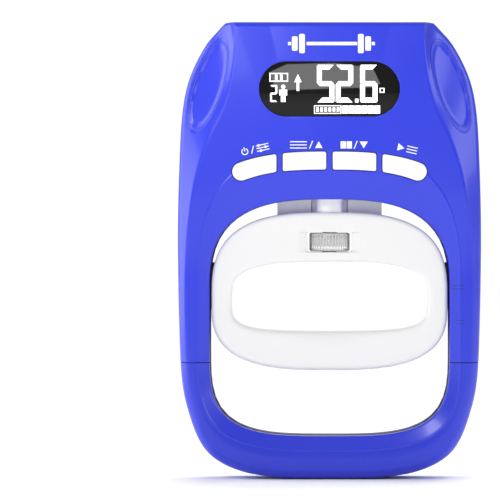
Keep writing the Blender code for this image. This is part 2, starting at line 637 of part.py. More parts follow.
# ---- the squeeze handle ----------------------------------------------------------------------
def make_handle():
    """A white ring that the fingers pull: flat in front, with a wheel window in its upper bar."""
    outer = superellipse_loop(HANDLE_HALF_WIDTH, HANDLE_TOP, HANDLE_BOTTOM, *HANDLE_MIDS, (2.9, 2.9))
    inner = superellipse_loop(HOLE_HALF_WIDTH, HOLE_TOP, HOLE_BOTTOM, HOLE_MID, HOLE_MID, (3.3, 4.0))
    origin = np.array([0.0, HOLE_MID])
    sections = []
    for turn in np.linspace(0, 2 * math.pi, 60, endpoint=False):
        direction = np.array([math.cos(turn), math.sin(turn) * 0.75])
        direction /= np.hypot(*direction)
        r_in, r_out = reach(inner, origin, direction), reach(outer, origin, direction)
        lowness = max(0.0, -direction[1])
        edge_out = 2.0 * MM
        edge_in = (1.6 + 4.0 * lowness) * MM
        d = HANDLE_DEPTH
        sections.append(in_space((origin, direction), [
            *arc(r_in + edge_in, -d + edge_in, edge_in, 180, 270),
            *arc(r_out - edge_out, -d + edge_out, edge_out, 270, 360),
            *arc(r_out - edge_out, d - edge_out, edge_out, 0, 90),
            *arc(r_in + edge_in, d - edge_in, edge_in, 90, 180),
        ]))
    handle = loft("handle", "handle_white", sections, closed=True)
    width, low, high = WINDOW
    tongue_width, tongue_thickness, tongue_low, tongue_high = TONGUE
    window = block("window", "handle_white", (-width / 2, -20 * MM, low), (width / 2, 20 * MM, high))
    pocket = block("tongue_pocket", "handle_white",
                   (-tongue_width / 2 - GAP, -tongue_thickness / 2 - GAP, tongue_low - GAP),
                   (tongue_width / 2 + GAP, tongue_thickness / 2 + GAP, 120 * MM))
    spine_pocket = block("spine_pocket", "handle_white",
                         (-SPINE[0] / 2 - GAP, -1 * MM, tongue_low - GAP),
                         (SPINE[0] / 2 + GAP, SPINE[1] + GAP, 120 * MM))
    stem_pocket = rod("stem_pocket", "handle_white", STEM_RADIUS + GAP, 14 * MM,
                      (0, 0, tongue_low - GAP + 7 * MM), "Z", 24)
    bore = rod("screw_bore", "handle_white", SCREW_BORE, 12 * MM, (0, 0, 98 * MM), "Z", 16)
    cuts = [window, pocket, spine_pocket, stem_pocket, bore]
    for side in (-1, 1):
        near, far = sorted((side * 46.9 * MM, side * 60 * MM))
        cuts.append(block(f"channel_{side}", "handle_white",
                          (near, -3.2 * MM, 30 * MM), (far, 3.2 * MM, 120 * MM)))
        cuts.append(rod(f"thumb_scoop_{side}", "handle_white", 30 * MM, high - low,
                        (0, side * (HANDLE_DEPTH + 27.2 * MM), (low + high) / 2), "Z", 64))
    combine(handle, "DIFFERENCE", *cuts)

    stem_height = tongue_high - tongue_low
    turned("stem_sleeve", "bright_metal", [
        (STEM_RADIUS, stem_height), (STEM_RADIUS, 0.0), (SCREW_BORE, 0.0), (SCREW_BORE, stem_height),
    ], (0, 0, tongue_low), steps=32)
    tongue = block("guide_tongue", "grey_plastic",
                   (-tongue_width / 2, -tongue_thickness / 2, tongue_low),
                   (tongue_width / 2, tongue_thickness / 2, tongue_high))
    spine = block("tongue_spine", "grey_plastic",
                  (-SPINE[0] / 2, 0, tongue_low), (SPINE[0] / 2, SPINE[1], tongue_high))
    socket = rod("stem_socket", "grey_plastic", STEM_RADIUS + GAP, 60 * MM, (0, 0, 115 * MM), "Z", 32)
    combine(tongue, "UNION", spine)
    combine(tongue, "DIFFERENCE", socket)

    wheel_height = WHEEL_HIGH - WHEEL_LOW
    edge = 0.6 * MM
    turned("thumb_wheel", "steel", [
        (WHEEL_RADIUS - edge, wheel_height), (WHEEL_RADIUS, wheel_height - edge), (WHEEL_RADIUS, edge),
        (WHEEL_RADIUS - edge, 0.0), (SCREW_RADIUS + GAP, 0.0), (SCREW_RADIUS + GAP, wheel_height),
    ], (0, 0, WHEEL_LOW), steps=36)
    screw_length = SCREW_TOP - SCREW_FOOT
    turned("adjusting_screw", "steel", [
        (0.0, screw_length), (SCREW_RADIUS - 0.5 * MM, screw_length),
        (SCREW_RADIUS, screw_length - 0.5 * MM), (SCREW_RADIUS, 0.0), (0.0, 0.0),
    ], (0, 0, SCREW_FOOT), steps=24)


# ---- load cell -------------------------------------------------------------------------------
def make_load_cell():
    """A beam on two posts. The screw hangs from its middle by a nut, so a squeeze bends the beam."""
    length, depth, low, high = CELL
    cell = block("load_cell", "aluminium", (-length / 2, -depth / 2, low), (length / 2, depth / 2, high))
    middle = (low + high) / 2
    cuts = [rod("cell_screw_bore", "aluminium", SCREW_BORE, 30 * MM, (0, 0, middle), "Z", 16)]
    for side in (-1, 1):
        for end, offset in (("inner", 11.0 * MM), ("outer", 17.5 * MM)):
            cuts.append(rod(f"flexure_{side}_{end}", "aluminium", 4.6 * MM, 20 * MM,
                            (side * offset, 0, middle), "Y", 16))
        cuts.append(rod(f"cell_bolt_bore_{side}", "aluminium", 2.3 * MM, 30 * MM,
                        (side * POST_X, 0, middle), "Z", 12))
        label = "left" if side < 0 else "right"
        turned(f"cell_bolt_{label}", "steel", [
            (0.0, 3.6 * MM), (3.4 * MM, 3.6 * MM), (3.7 * MM, 3.2 * MM), (3.7 * MM, 0.0),
            (2.0 * MM, 0.0), (2.0 * MM, -25.0 * MM), (0.0, -25.0 * MM),
        ], (side * POST_X, 0, high + GAP), steps=18)
    combine(cell, "DIFFERENCE", *cuts)
    nut = rod("screw_nut", "brass", 5.6 * MM, 5.0 * MM, (0, 0, high + GAP + 2.5 * MM), "Z", 6)
    combine(nut, "DIFFERENCE", rod("nut_bore", "brass", SCREW_RADIUS + GAP, 20 * MM,
                                   (0, 0, high), "Z", 16))
    for side, label in ((-1, "left"), (1, "right")):
        x = side * 14.25 * MM
        block(f"strain_gauge_{label}", "gauge_foil",
              (x - 4 * MM, -3.5 * MM, high + GAP), (x + 4 * MM, 3.5 * MM, high + GAP + 0.4 * MM))


# ---- display, board and buttons --------------------------------------------------------------
def make_display():
    width, height, centre = LENS
    plate("display_lens", "lens_dark", stadium(width, height, centre, 14), -14.6 * MM, -12.9 * MM)
    block("lcd_panel", "lcd_black",
          (-29 * MM, -12.3 * MM, 150.5 * MM), (29 * MM, -10.4 * MM, 174 * MM), 0.2 * MM)
    block("backlight", "button_white",
          (-29.6 * MM, -10.1 * MM, 149.8 * MM), (29.6 * MM, -7.9 * MM, 174.6 * MM), 0.3 * MM)
    width, low, high, front, back = BOARD
    board = block("main_board", "board_green", (-width / 2, front, low), (width / 2, back, high))
    stem_travel = block("stem_travel", "board_green", (-8.5 * MM, -10 * MM, low - 5 * MM),
                        (8.5 * MM, 0, TONGUE[3] + 4.5 * MM))
    combine(board, "DIFFERENCE", stem_travel)
    block("microcontroller", "black_plastic",
          (-5.5 * MM, front - 1.5 * MM - GAP, 138.6 * MM), (5.5 * MM, front - GAP, 147.6 * MM), 0.2 * MM)
    for name, (x, z) in SWITCH_AT.items():
        body = block("switch_" + name, "black_plastic",
                     (x - 3 * MM, front - GAP - 1.4 * MM, z - 3 * MM), (x + 3 * MM, front - GAP, z + 3 * MM))
        stem = rod("switch_stem_" + name, "black_plastic", 1.4 * MM, 1.0 * MM,
                   (x, front - GAP - 1.4 * MM, z), "Y", 12)
        combine(body, "UNION", stem)


def make_buttons():
    """Four caps with a retaining flange behind the cover, and the rubber mat that springs them."""
    for name, (start, end) in BUTTON_SPANS.items():
        cap = plate(name, "button_white", button_outline(start, end), -15.3 * MM, -11.3 * MM)
        flange = plate(name + "_flange", "button_white",
                       button_outline(start, end, grow=0.9 * MM), -12.0 * MM, -11.3 * MM)
        combine(cap, "UNION", flange)
    a, b = BUTTON_ARC
    x = np.linspace(-34 * MM, 34 * MM, 21)
    z = LOOP_Z + b * (1 - np.abs(x / a) ** ARCH_POWER) ** (1 / ARCH_POWER)
    outline = np.vstack([np.column_stack([x, z + 4 * MM]), np.column_stack([x, z - 4 * MM])[::-1]])
    plate("button_mat", "black_plastic", outline, -10.4 * MM, -9.9 * MM)


# ---- batteries -------------------------------------------------------------------------------
def make_batteries():
    width, low, high, front, back = TRAY
    wall = 1.2 * MM
    tray = block("battery_tray", "black_plastic", (-width / 2, front, low), (width / 2, back, high))
    room = block("tray_room", "black_plastic", (-width / 2 + wall, front + wall - 0.2 * MM, low + wall),
                 (width / 2 - wall, back + 5 * MM, high - wall))
    combine(tray, "DIFFERENCE", room)
    radius, length = CELL_AAA
    inside = width / 2 - wall
    for number, z in enumerate(BATTERY_Z, 1):
        side = 1 if number == 1 else -1
        centre = side * 0.75 * MM
        cap = 1.0 * MM
        turned(f"battery_{number}", "battery_wrap", [
            (0.0, length / 2), (1.8 * MM, length / 2), (1.8 * MM, length / 2 - cap),
            (radius - 0.4 * MM, length / 2 - cap), (radius, length / 2 - cap - 0.4 * MM),
            (radius, -length / 2 + 0.3 * MM), (radius - 0.3 * MM, -length / 2), (0.0, -length / 2),
        ], (centre, BATTERY_Y, z), (0, side * math.pi / 2, 0), steps=20)
        far = centre + side * length / 2
        near, edge = sorted((far + side * GAP, side * (inside - GAP)))
        block(f"battery_contact_{number}", "bright_metal",
              (near, BATTERY_Y - 3.6 * MM, z - 3.6 * MM), (edge, BATTERY_Y + 3.6 * MM, z + 3.6 * MM))
        base = -side * (inside - GAP - 0.35 * MM)
        tip = centre - side * (length / 2 + GAP + 0.35 * MM)
        turns = np.linspace(0, 1, 19)
        coil = 3.6 * MM - 1.2 * MM * turns
        route = np.column_stack([
            base + (tip - base) * turns,
            BATTERY_Y + coil * np.cos(turns * 2.5 * 2 * math.pi),
            z + coil * np.sin(turns * 2.5 * 2 * math.pi),
        ])
        wire(f"battery_spring_{number}", "bright_metal", route, 0.3 * MM, 1, 0)
    width, low, high, thickness = DOOR
    door = block("battery_door", "shell_blue", (-width / 2, REAR_HEAD - thickness, low),
                 (width / 2, REAR_HEAD, high), 0.3 * MM)
    return door


# ---- fixings and leads -----------------------------------------------------------------------
def make_screws():
    """Eight like screws put in from the back."""
    for number, (x, z) in enumerate(SCREWS, 1):
        seat = rear_depth(z * MM) - recess_depth(z * MM)
        shank = seat + FRONT_LOOP - 2.6 * MM
        turned(f"cover_screw_{number}", "steel", [
            (0.0, 1.9 * MM), (SCREW_HEAD_RADIUS - 0.7 * MM, 1.9 * MM), (SCREW_HEAD_RADIUS, 1.1 * MM),
            (SCREW_HEAD_RADIUS, GAP), (SCREW_SHANK_RADIUS, GAP),
            (SCREW_SHANK_RADIUS, -shank + 0.8 * MM), (0.0, -shank),
        ], (x * MM, seat, z * MM), (-math.pi / 2, 0, 0), steps=14)


def make_leads():
    """Signal lead from the beam to the board, and the two supply leads from the tray."""
    wire("gauge_lead", "lead_black", np.array([
        (19.5, 0.0, 150.6), (24.0, -2.0, 152.5), (23.0, -4.2, 155.2), (20.0, -4.9, 157.6),
    ]) * MM, 0.5 * MM)
    wire("supply_lead_positive", "lead_red", np.array([
        (30.5, 9.0, 165.0), (31.0, 4.0, 164.5), (31.5, 0.0, 164.0), (31.5, -5.0, 163.5),
    ]) * MM, 0.5 * MM)
    wire("supply_lead_negative", "lead_black", np.array([
        (-30.5, 9.0, 165.0), (-31.0, 4.0, 164.5), (-31.5, 0.0, 164.0), (-31.5, -5.0, 163.5),
    ]) * MM, 0.5 * MM)


clear_scene()
LOOPS, HEAD_RAYS, GRIP_RAYS = make_covers()
make_frame(LOOPS, HEAD_RAYS, GRIP_RAYS)
make_handle()
make_load_cell()
make_display()
make_buttons()
make_batteries()
make_screws()
make_leads()
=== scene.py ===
"""Looks for an electronic hand dynamometer: a blue closed loop with a display head, and a white
squeeze handle that hangs inside it."""

import math

import bmesh
import bpy
import numpy as np
from bpy.props import FloatProperty, FloatVectorProperty, IntProperty, PointerProperty, StringProperty
from mathutils import Matrix, Vector


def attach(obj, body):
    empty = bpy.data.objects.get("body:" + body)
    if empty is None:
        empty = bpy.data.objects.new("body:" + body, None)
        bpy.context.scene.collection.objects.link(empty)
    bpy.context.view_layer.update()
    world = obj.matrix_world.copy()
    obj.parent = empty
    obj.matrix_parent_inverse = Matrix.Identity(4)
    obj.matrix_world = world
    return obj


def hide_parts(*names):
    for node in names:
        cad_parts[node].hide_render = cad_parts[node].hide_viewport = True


bl_info = {
    "name": "Hand dynamometer looks",
    "version": (1, 0, 0),
    "blender": (4, 5, 0),
    "location": "3D View > Sidebar > Dynamometer",
    "description": "Builds the surfaces, finishes and studio of a hand dynamometer around its packed frame",
    "category": "Object",
}

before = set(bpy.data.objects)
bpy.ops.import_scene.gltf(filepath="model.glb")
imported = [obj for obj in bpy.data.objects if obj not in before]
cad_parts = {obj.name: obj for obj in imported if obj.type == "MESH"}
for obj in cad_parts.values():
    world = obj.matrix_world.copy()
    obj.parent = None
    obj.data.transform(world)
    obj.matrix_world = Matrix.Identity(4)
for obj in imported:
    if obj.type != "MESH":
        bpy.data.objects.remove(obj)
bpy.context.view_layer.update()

MM = 0.001
GAP = 0.3 * MM
SEAM_Z = 48.5 * MM
LOOP_Z = 78.8 * MM
LOWER_CENTRE_Z = 53.9 * MM
HEAD_TOP = 190.0 * MM
WALL = 2.0 * MM
FRAME_HALF = 4.0 * MM

COVER_OPENING = (49.9, 116.4, 17.8)
INNER_RIDGE = (53.9, 136.8, 12.7)
OUTLINE_TOP = (41.5, 190.0)
OUTLINE_CORNER = (43.4, 189.7)
OUTLINE = [
    (45.0, 188.2), (51.9, 180.0), (58.4, 166.7), (61.4, 152.0), (62.6, 130.0), (63.2, 100.0),
    (62.7, 66.0), (61.6, 41.5), (58.7, 27.4), (53.8, 15.0), (46.7, 7.5), (35.0, 2.5), (19.0, 0.0),
]
OUTER_RIDGE = [
    (39.2, 188.6), (39.5, 181.0), (40.8, 168.0), (44.0, 154.5), (50.4, 141.0), (55.2, 126.5),
    (58.4, 108.0), (59.8, 88.0), (59.9, 66.0), (58.8, 41.5), (56.0, 28.0), (51.6, 16.6),
    (45.6, 9.9), (34.6, 5.2), (19.0, 2.8),
]
FRONT_HEAD, FRONT_LOOP = 15.0 * MM, 13.0 * MM
REAR_HEAD, REAR_LOOP = 17.5 * MM, 13.0 * MM
BLEND_LOW, BLEND_HIGH = 85.0 * MM, 125.0 * MM
BEVEL_DROP = 2.8 * MM
RIDGE_RISE = 0.8 * MM
BEAD = 1.6 * MM
SHOULDER_DROP, SHOULDER_RUN = 10.5 * MM, 8.0 * MM

LENS = (58.2 * MM, 22.6 * MM, 162.2 * MM)
BUTTON_ARC = (62.8 * MM, 53.7 * MM)
BUTTON_HALF = 3.75 * MM
BUTTON_SPANS = {
    "power": (-36.6 * MM, -22.0 * MM),
    "up": (-19.4 * MM, -1.35 * MM),
    "down": (1.35 * MM, 19.4 * MM),
    "start": (22.0 * MM, 36.6 * MM),
}
SCREWS = [
    (-34.0, 183.5), (34.0, 183.5), (-47.0, 131.0), (47.0, 131.0),
    (-55.6, 66.0), (55.6, 66.0), (-30.0, 13.8), (30.0, 13.8),
]
DOOR = (54.6 * MM, 157.4 * MM, 184.4 * MM, 1.5 * MM)

HANDLE = (49.2 * MM, 111.0 * MM, 45.1 * MM, 75.3 * MM, 73.0 * MM)
HANDLE_DEPTH = 10.5 * MM
HOLE = (41.0 * MM, 90.2 * MM, 61.2 * MM, 73.6 * MM, 73.6 * MM)
WINDOW = (18.6 * MM, 94.3 * MM, 102.8 * MM)
WHEEL = (8.4 * MM, 94.7 * MM, 102.4 * MM)
SCREW_RADIUS = 3.0 * MM
STEM = (7.7 * MM, 3.4 * MM, 104.0 * MM, 130.5 * MM)
TONGUE_HALF = 21.8 * MM
RECESS_RADIUS = 2.9 * MM
SHOULDER_LEAF = (50.4 * MM, 163.6 * MM, 6.0 * MM, 19.6 * MM, math.radians(17.5))

VIEW_CENTRE_Z = 95.4 * MM
VIEW_SHIFT = -0.159
MERGE = 2e-6
SHARP_ANGLE = 32


# ---- user settings ---------------------------------------------------------------------------
class ShellSettings(bpy.types.PropertyGroup):
    """Sizes and colours of the blue covers."""

    colour: FloatVectorProperty(
        name="Shell colour", description="Colour of the moulded covers", subtype="COLOR",
        size=3, min=0.0, max=1.0, default=(0.010, 0.027, 0.60),
    )
    roughness: FloatProperty(
        name="Shell roughness", description="Roughness of the covers' satin moulding",
        default=0.34, min=0.0, max=1.0, subtype="FACTOR",
    )
    crease: FloatProperty(
        name="Crease radius", description="Rounding of the ridges in the front covers",
        default=0.4 * MM, min=0.1 * MM, max=2 * MM, unit="LENGTH",
    )
    dimple: FloatProperty(
        name="Shoulder recess", description="Depth of the two recesses on the shoulders",
        default=0.95 * MM, min=0.0, max=2 * MM, unit="LENGTH",
    )
    stations: IntProperty(
        name="Stations", description="Number of wall sections round the head", default=560, min=60, max=900,
    )


class HandleSettings(bpy.types.PropertyGroup):
    """Sizes and colours of the squeeze handle and its adjuster."""

    colour: FloatVectorProperty(
        name="Handle colour", description="Colour of the handle and the buttons", subtype="COLOR",
        size=3, min=0.0, max=1.0, default=(0.82, 0.82, 0.82),
    )
    teeth: IntProperty(
        name="Knurl teeth", description="Teeth round the thumb wheel", default=40, min=12, max=90,
    )
    tooth_depth: FloatProperty(
        name="Knurl depth", description="Depth of the thumb wheel's teeth",
        default=0.5 * MM, min=0.0, max=1 * MM, unit="LENGTH",
    )


class DisplaySettings(bpy.types.PropertyGroup):
    """What the display reads, and how bright it is."""

    reading: StringProperty(
        name="Reading", description="Three digits, shown with a point before the last",
        default="526", maxlen=3,
    )
    glow: FloatProperty(
        name="Glow", description="Brightness of the lit segments", default=1.1, min=0.0, max=10.0,
    )


class StudioSettings(bpy.types.PropertyGroup):
    """Camera and light."""

    distance: FloatProperty(
        name="Camera distance", description="Distance from the lens to the display face",
        default=1.7, min=0.5, max=10.0, unit="LENGTH",
    )
    elevation: FloatProperty(
        name="Camera elevation", description="Height of the view above level",
        default=math.radians(1.0), min=-1.0, max=1.5, subtype="ANGLE",
    )
    view_width: FloatProperty(
        name="View width", description="Width of the view at the display face",
        default=0.2074, min=0.05, max=1.0, unit="LENGTH",
    )
    key: FloatProperty(
        name="Key light", description="Power of the left soft box", default=7.0, min=0.0, unit="POWER",
    )
    card: FloatProperty(
        name="Window card", description="Power of the card that the display window reflects",
        default=1.1, min=0.0, unit="POWER",
    )
    front: FloatProperty(
        name="Front light", description="Power of the front soft box", default=3.5, min=0.0, unit="POWER",
    )
    side: FloatProperty(
        name="Side light", description="Power of the right soft box", default=3.0, min=0.0, unit="POWER",
    )
    near: FloatProperty(
        name="Near light", description="Power of the near box at the upper left",
        default=0.11, min=0.0, unit="POWER",
    )
    wash: FloatProperty(
        name="Floor wash", description="Strength of the light kept to the floor", default=2.0, min=0.0,
    )


# ---- shapes ----------------------------------------------------------------------------------
def smooth_curve(points, steps):
    """Catmull-Rom curve: a cubic through each point, whose slope there is half the chord between its
    two neighbours. It gives steps points for each span."""
    points = np.asarray(points, float)
    ends = np.vstack([2 * points[0] - points[1], points, 2 * points[-1] - points[-2]])
    t = np.linspace(0, 1, steps, endpoint=False)[None, :, None]
    a, b, c, d = (ends[k:len(ends) - 3 + k, None, :] for k in range(4))
    spans = 0.5 * (2 * b + (c - a) * t + (2 * a - 5 * b + 4 * c - d) * t**2 + (3 * b - a - 3 * c + d) * t**3)
    return np.vstack([spans.reshape(-1, points.shape[1]), points[-1:]])


def mirrored(half):
    """A half outline on the +X side, closed with its mirror image."""
    half = np.asarray(half, float)
    return np.vstack([half, half[::-1] * (-1, 1)])


def superellipse_loop(half_width, top, bottom, upper_mid, lower_mid, powers, steps=220):
    """Two superellipse halves, |x/a|^n + |z/b|^n = 1, joined by straight sides."""
    t = np.linspace(math.pi / 2, 0, steps)
    cos, sin = np.clip(np.cos(t), 0, 1), np.clip(np.sin(t), 0, 1)
    upper = np.column_stack([
        half_width * cos ** (2 / powers[0]), upper_mid + (top - upper_mid) * sin ** (2 / powers[0]),
    ])
    lower = np.column_stack([
        half_width * cos ** (2 / powers[1]), lower_mid - (lower_mid - bottom) * sin ** (2 / powers[1]),
    ])[::-1]
    return mirrored(np.vstack([upper, lower]))


def opening_loop(size):
    """A loop round the opening from its half width, top and bottom in millimetres."""
    half_width, top, bottom = (value * MM for value in size)
    return superellipse_loop(half_width, top, bottom, LOOP_Z, LOWER_CENTRE_Z, (2.8, 3.5))


def body_loops():
    """The four loops that the front covers are built on: opening, inner ridge, outer ridge, outline."""
    flank, ridge = smooth_curve(OUTLINE, 24), smooth_curve(OUTER_RIDGE, 24)
    outline = np.vstack([(0, OUTLINE_TOP[1]), OUTLINE_TOP, OUTLINE_CORNER, flank, (0, 0)])
    ridge = np.vstack([(0, OUTER_RIDGE[0][1]), ridge, (0, OUTER_RIDGE[-1][1])])
    return [
        opening_loop(COVER_OPENING), opening_loop(INNER_RIDGE), mirrored(ridge * MM), mirrored(outline * MM),
    ]


def reach(loop, origin, direction):
    """Distance along each ray to its last crossing of the closed loop.

    With e an edge from p to q and d the ray, both the ray's distance and the edge's share come from
    the cross products (p - o) x e / d x e and (p - o) x d / d x e.
    """
    edge = np.roll(loop, -1, axis=0) - loop
    ox, oz = origin[:, :1], origin[:, 1:]
    dx, dz = direction[:, :1], direction[:, 1:]
    px, pz = loop[None, :, 0] - ox, loop[None, :, 1] - oz
    across = dx * edge[None, :, 1] - dz * edge[None, :, 0]
    across = np.where(np.abs(across) < 1e-15, 1e-15, across)
    distance = (px * edge[None, :, 1] - pz * edge[None, :, 0]) / across
    share = (px * dz - pz * dx) / across
    hit = (share >= -1e-6) & (share <= 1 + 1e-6) & (distance > 0) & (distance < 1.0)
    return np.where(hit, distance, 0.0).max(axis=1)


def ray_through(x, z):
    """Origins and unit directions of the rays through the points: fanned above the springing line and
    below the seam, level between them."""
    middle = np.where(z > LOOP_Z, LOOP_Z, np.where(z < SEAM_Z - GAP, SEAM_Z, z))
    origin = np.column_stack([np.zeros_like(x), middle])
    away = np.column_stack([x, z]) - origin
    return origin, away / np.hypot(away[:, :1], away[:, 1:])


def stations(loop, low, high, count):
    """Rays through evenly spaced points of the loop between two heights, from right to left."""
    around = np.vstack([loop, loop[:1]])
    travelled = np.concatenate([[0], np.cumsum(np.hypot(*np.diff(around, axis=0).T))])
    fine = np.linspace(0, travelled[-1], 12000)
    points = np.column_stack([np.interp(fine, travelled, around[:, k]) for k in (0, 1)])
    points = points[(points[:, 1] >= low) & (points[:, 1] <= high)]
    upper = high > SEAM_Z + MM
    middle = LOOP_Z if upper else SEAM_Z
    angle = np.arctan2(points[:, 1] - middle, points[:, 0])
    angle = np.where(angle < -math.pi / 2, angle + 2 * math.pi, angle) if upper else -angle
    points = points[np.argsort(angle)]
    travelled = np.concatenate([[0], np.cumsum(np.hypot(*np.diff(points, axis=0).T))])
    evenly = np.linspace(0, travelled[-1], count)
    picked = np.column_stack([np.interp(evenly, travelled, points[:, k]) for k in (0, 1)])
    picked[[0, -1], 1] = low if upper else high
    return ray_through(picked[:, 0], picked[:, 1])


def stacked(corners):
    """Pairs (reach, y) of one row per ray, as rays by corners by 2."""
    return np.stack([np.stack(corner, axis=1) for corner in corners], axis=1)


def headness(z):
    """0 on the loop and 1 on the head, by 3t^2 - 2t^3 between."""
    t = np.clip((z - BLEND_LOW) / (BLEND_HIGH - BLEND_LOW), 0, 1)
    return t * t * (3 - 2 * t)


def mitre(angle):
    """Offset of a wall's inner corner where the wall meets a face that slopes by an angle."""
    return WALL * np.tan((math.pi / 2 - angle) / 2)


def face_level(depth_loop, depth_head, z):
    """Depth of a cover's face at a height, between its depths on the loop and on the head."""
    return depth_loop + (depth_head - depth_loop) * headness(z)


def front_corners(origin, direction, loops):
    """Corners of the front wall's section on each ray, from the opening's edge outwards and back."""
    r0, r1, r2, r3 = (reach(loop, origin, direction) for loop in loops)
    z0, z1, z2 = (origin[:, 1] + direction[:, 1] * r for r in (r0, r1, r2))
    beside = np.clip((np.abs(direction[:, 0] * r2) - 25 * MM) / (14 * MM), 0, 1)
    y0 = -(face_level(FRONT_LOOP, FRONT_HEAD, z0) - BEVEL_DROP)
    y1 = -face_level(FRONT_LOOP, FRONT_HEAD, z1)
    y2 = -(face_level(FRONT_LOOP, FRONT_HEAD, z2) + RIDGE_RISE * beside * headness(z2))
    y3 = y2 + SHOULDER_DROP * (1 - np.exp(-(r3 - r2) / SHOULDER_RUN))
    bevel = np.arctan2(y0 - y1, r1 - r0)
    slope = np.arctan2(y3 - y2, r3 - r2)
    flat = np.full_like(r0, -GAP / 2)
    seat = np.full_like(r0, -FRAME_HALF - GAP)
    return stacked([
        (r0, seat), (r0, y0), (r1, y1), (r1 + BEAD, y1 + (y2 - y1) * BEAD / (r2 - r1)), (r2, y2), (r3, y3),
        (r3, flat), (r3 - WALL, flat), (r3 - WALL, y3 + mitre(slope)),
        (r2 - WALL * np.tan(slope / 2), y2 + WALL), (r1 + WALL * np.tan(bevel / 2), y1 + WALL),
        (r0 + WALL, y0 + mitre(bevel)), (r0 + WALL, seat),
    ])


def face_depth(x, z, loops=None):
    """Depth y of the front covers' face at points of it, by the straight run between its corners."""
    x, z = np.atleast_1d(np.asarray(x, float)), np.atleast_1d(np.asarray(z, float))
    origin, direction = ray_through(x, z)
    corners = front_corners(origin, direction, loops or body_loops())
    at = np.hypot(x - origin[:, 0], z - origin[:, 1])
    depth = corners[:, 1, 1].copy()
    for k in (1, 2, 3, 4):
        (ra, ya), (rb, yb) = corners[:, k].T, corners[:, k + 1].T
        share = np.clip((at - ra) / (rb - ra), 0, 1)
        depth = np.where(at >= ra, ya + (yb - ya) * share, depth)
    return depth


def rear_corners(origin, direction, loops):
    """Corners of the rear wall's section on each ray."""
    r0, r3 = reach(loops[0], origin, direction), reach(loops[3], origin, direction)
    y_in, y_out = (face_level(REAR_LOOP, REAR_HEAD, origin[:, 1] + direction[:, 1] * r) for r in (r0, r3))
    flat, seat = np.full_like(r0, GAP / 2), np.full_like(r0, FRAME_HALF + GAP)
    return stacked([
        (r3, flat), (r3, y_out), (r0, y_in), (r0, seat), (r0 + WALL, seat), (r0 + WALL, y_in - WALL),
        (r3 - WALL, y_out - WALL), (r3 - WALL, flat),
    ])


def rounded_section(corners, radii, spans, steps=6):
    """Rounds each corner P of closed polygons with the curve (1-t)^2 E + 2t(1-t) P + t^2 X.

    E and X lie on the two sides, one rounding length away. spans gives how many points divide the
    straight run that follows each corner. corners is rays by corners by 2.
    """
    rows = []
    before, after = np.roll(corners, 1, axis=1), np.roll(corners, -1, axis=1)
    entry, leave = [], []
    for k, radius in enumerate(radii):
        p = corners[:, k]
        for store, other in ((entry, before[:, k]), (leave, after[:, k])):
            length = np.hypot(*(other - p).T)[:, None]
            store.append(p + (other - p) * np.minimum(radius / np.maximum(length, 1e-9), 0.46))
    for k, radius in enumerate(radii):
        t = np.linspace(0, 1, steps)[None, :, None] if radius > 0 else np.array([[[0.5]]])
        e, p, x = (value[:, None, :] for value in (entry[k], corners[:, k], leave[k]))
        rows.append((1 - t) ** 2 * e + 2 * t * (1 - t) * p + t**2 * x)
        following = entry[(k + 1) % len(radii)][:, None, :]
        t = np.linspace(0, 1, spans[k] + 2)[1:-1][None, :, None]
        rows.append(x * (1 - t) + following * t)
    return np.concatenate(rows, axis=1)


def on_rays(origin, direction, section):
    """Section points (reach, y) of each ray as points in space."""
    spot = origin[:, None, :] + direction[:, None, :] * section[:, :, :1]
    return np.stack([spot[:, :, 0], section[:, :, 1], spot[:, :, 1]], axis=2)


def stadium_frame(width, height, centre_z, count=96):
    """Core points and outward normals of a flat bar with round ends, (x, z), for offset rings."""
    turn = np.linspace(-math.pi / 2, math.pi / 2, count // 2)
    normal = np.column_stack([np.cos(turn), np.sin(turn)])
    core = np.tile(((width - height) / 2, centre_z), (len(turn), 1))
    return np.vstack([core, core * (-1, 1)]), np.vstack([normal, -normal])


def button_outline(start, end, steps=28):
    """A button's outline and its outward normals: it follows the arc |x/a|^2.8 + |z/b|^2.8 = 1 at a
    constant half height, square at the inner end, and round at the outer end of an outer button."""
    a, b = BUTTON_ARC
    sign = 1 if end > 0 else -1
    near, far = sorted((abs(start), abs(end)))
    tail = far > 30 * MM
    x = np.linspace(near, far, steps)
    z = LOOP_Z + b * (1 - (x / a) ** 2.8) ** (1 / 2.8)
    lean = (np.linspace(0, 1, steps) if tail else np.zeros(steps)) * np.arctan(np.gradient(z, x))
    up = np.column_stack([-np.sin(lean), np.cos(lean)])
    middle = np.column_stack([x, z])
    blocks = [(middle + BUTTON_HALF * up, up)]
    if tail:
        turn = np.linspace(math.pi / 2, -math.pi / 2, 26)[1:-1] + lean[-1]
        out = np.column_stack([np.cos(turn), np.sin(turn)])
        blocks.append((middle[-1] + BUTTON_HALF * out, out))
    blocks.append(((middle - BUTTON_HALF * up)[::-1], -up[::-1]))
    outline = np.vstack([points for points, _ in blocks])
    return outline * (sign, 1)


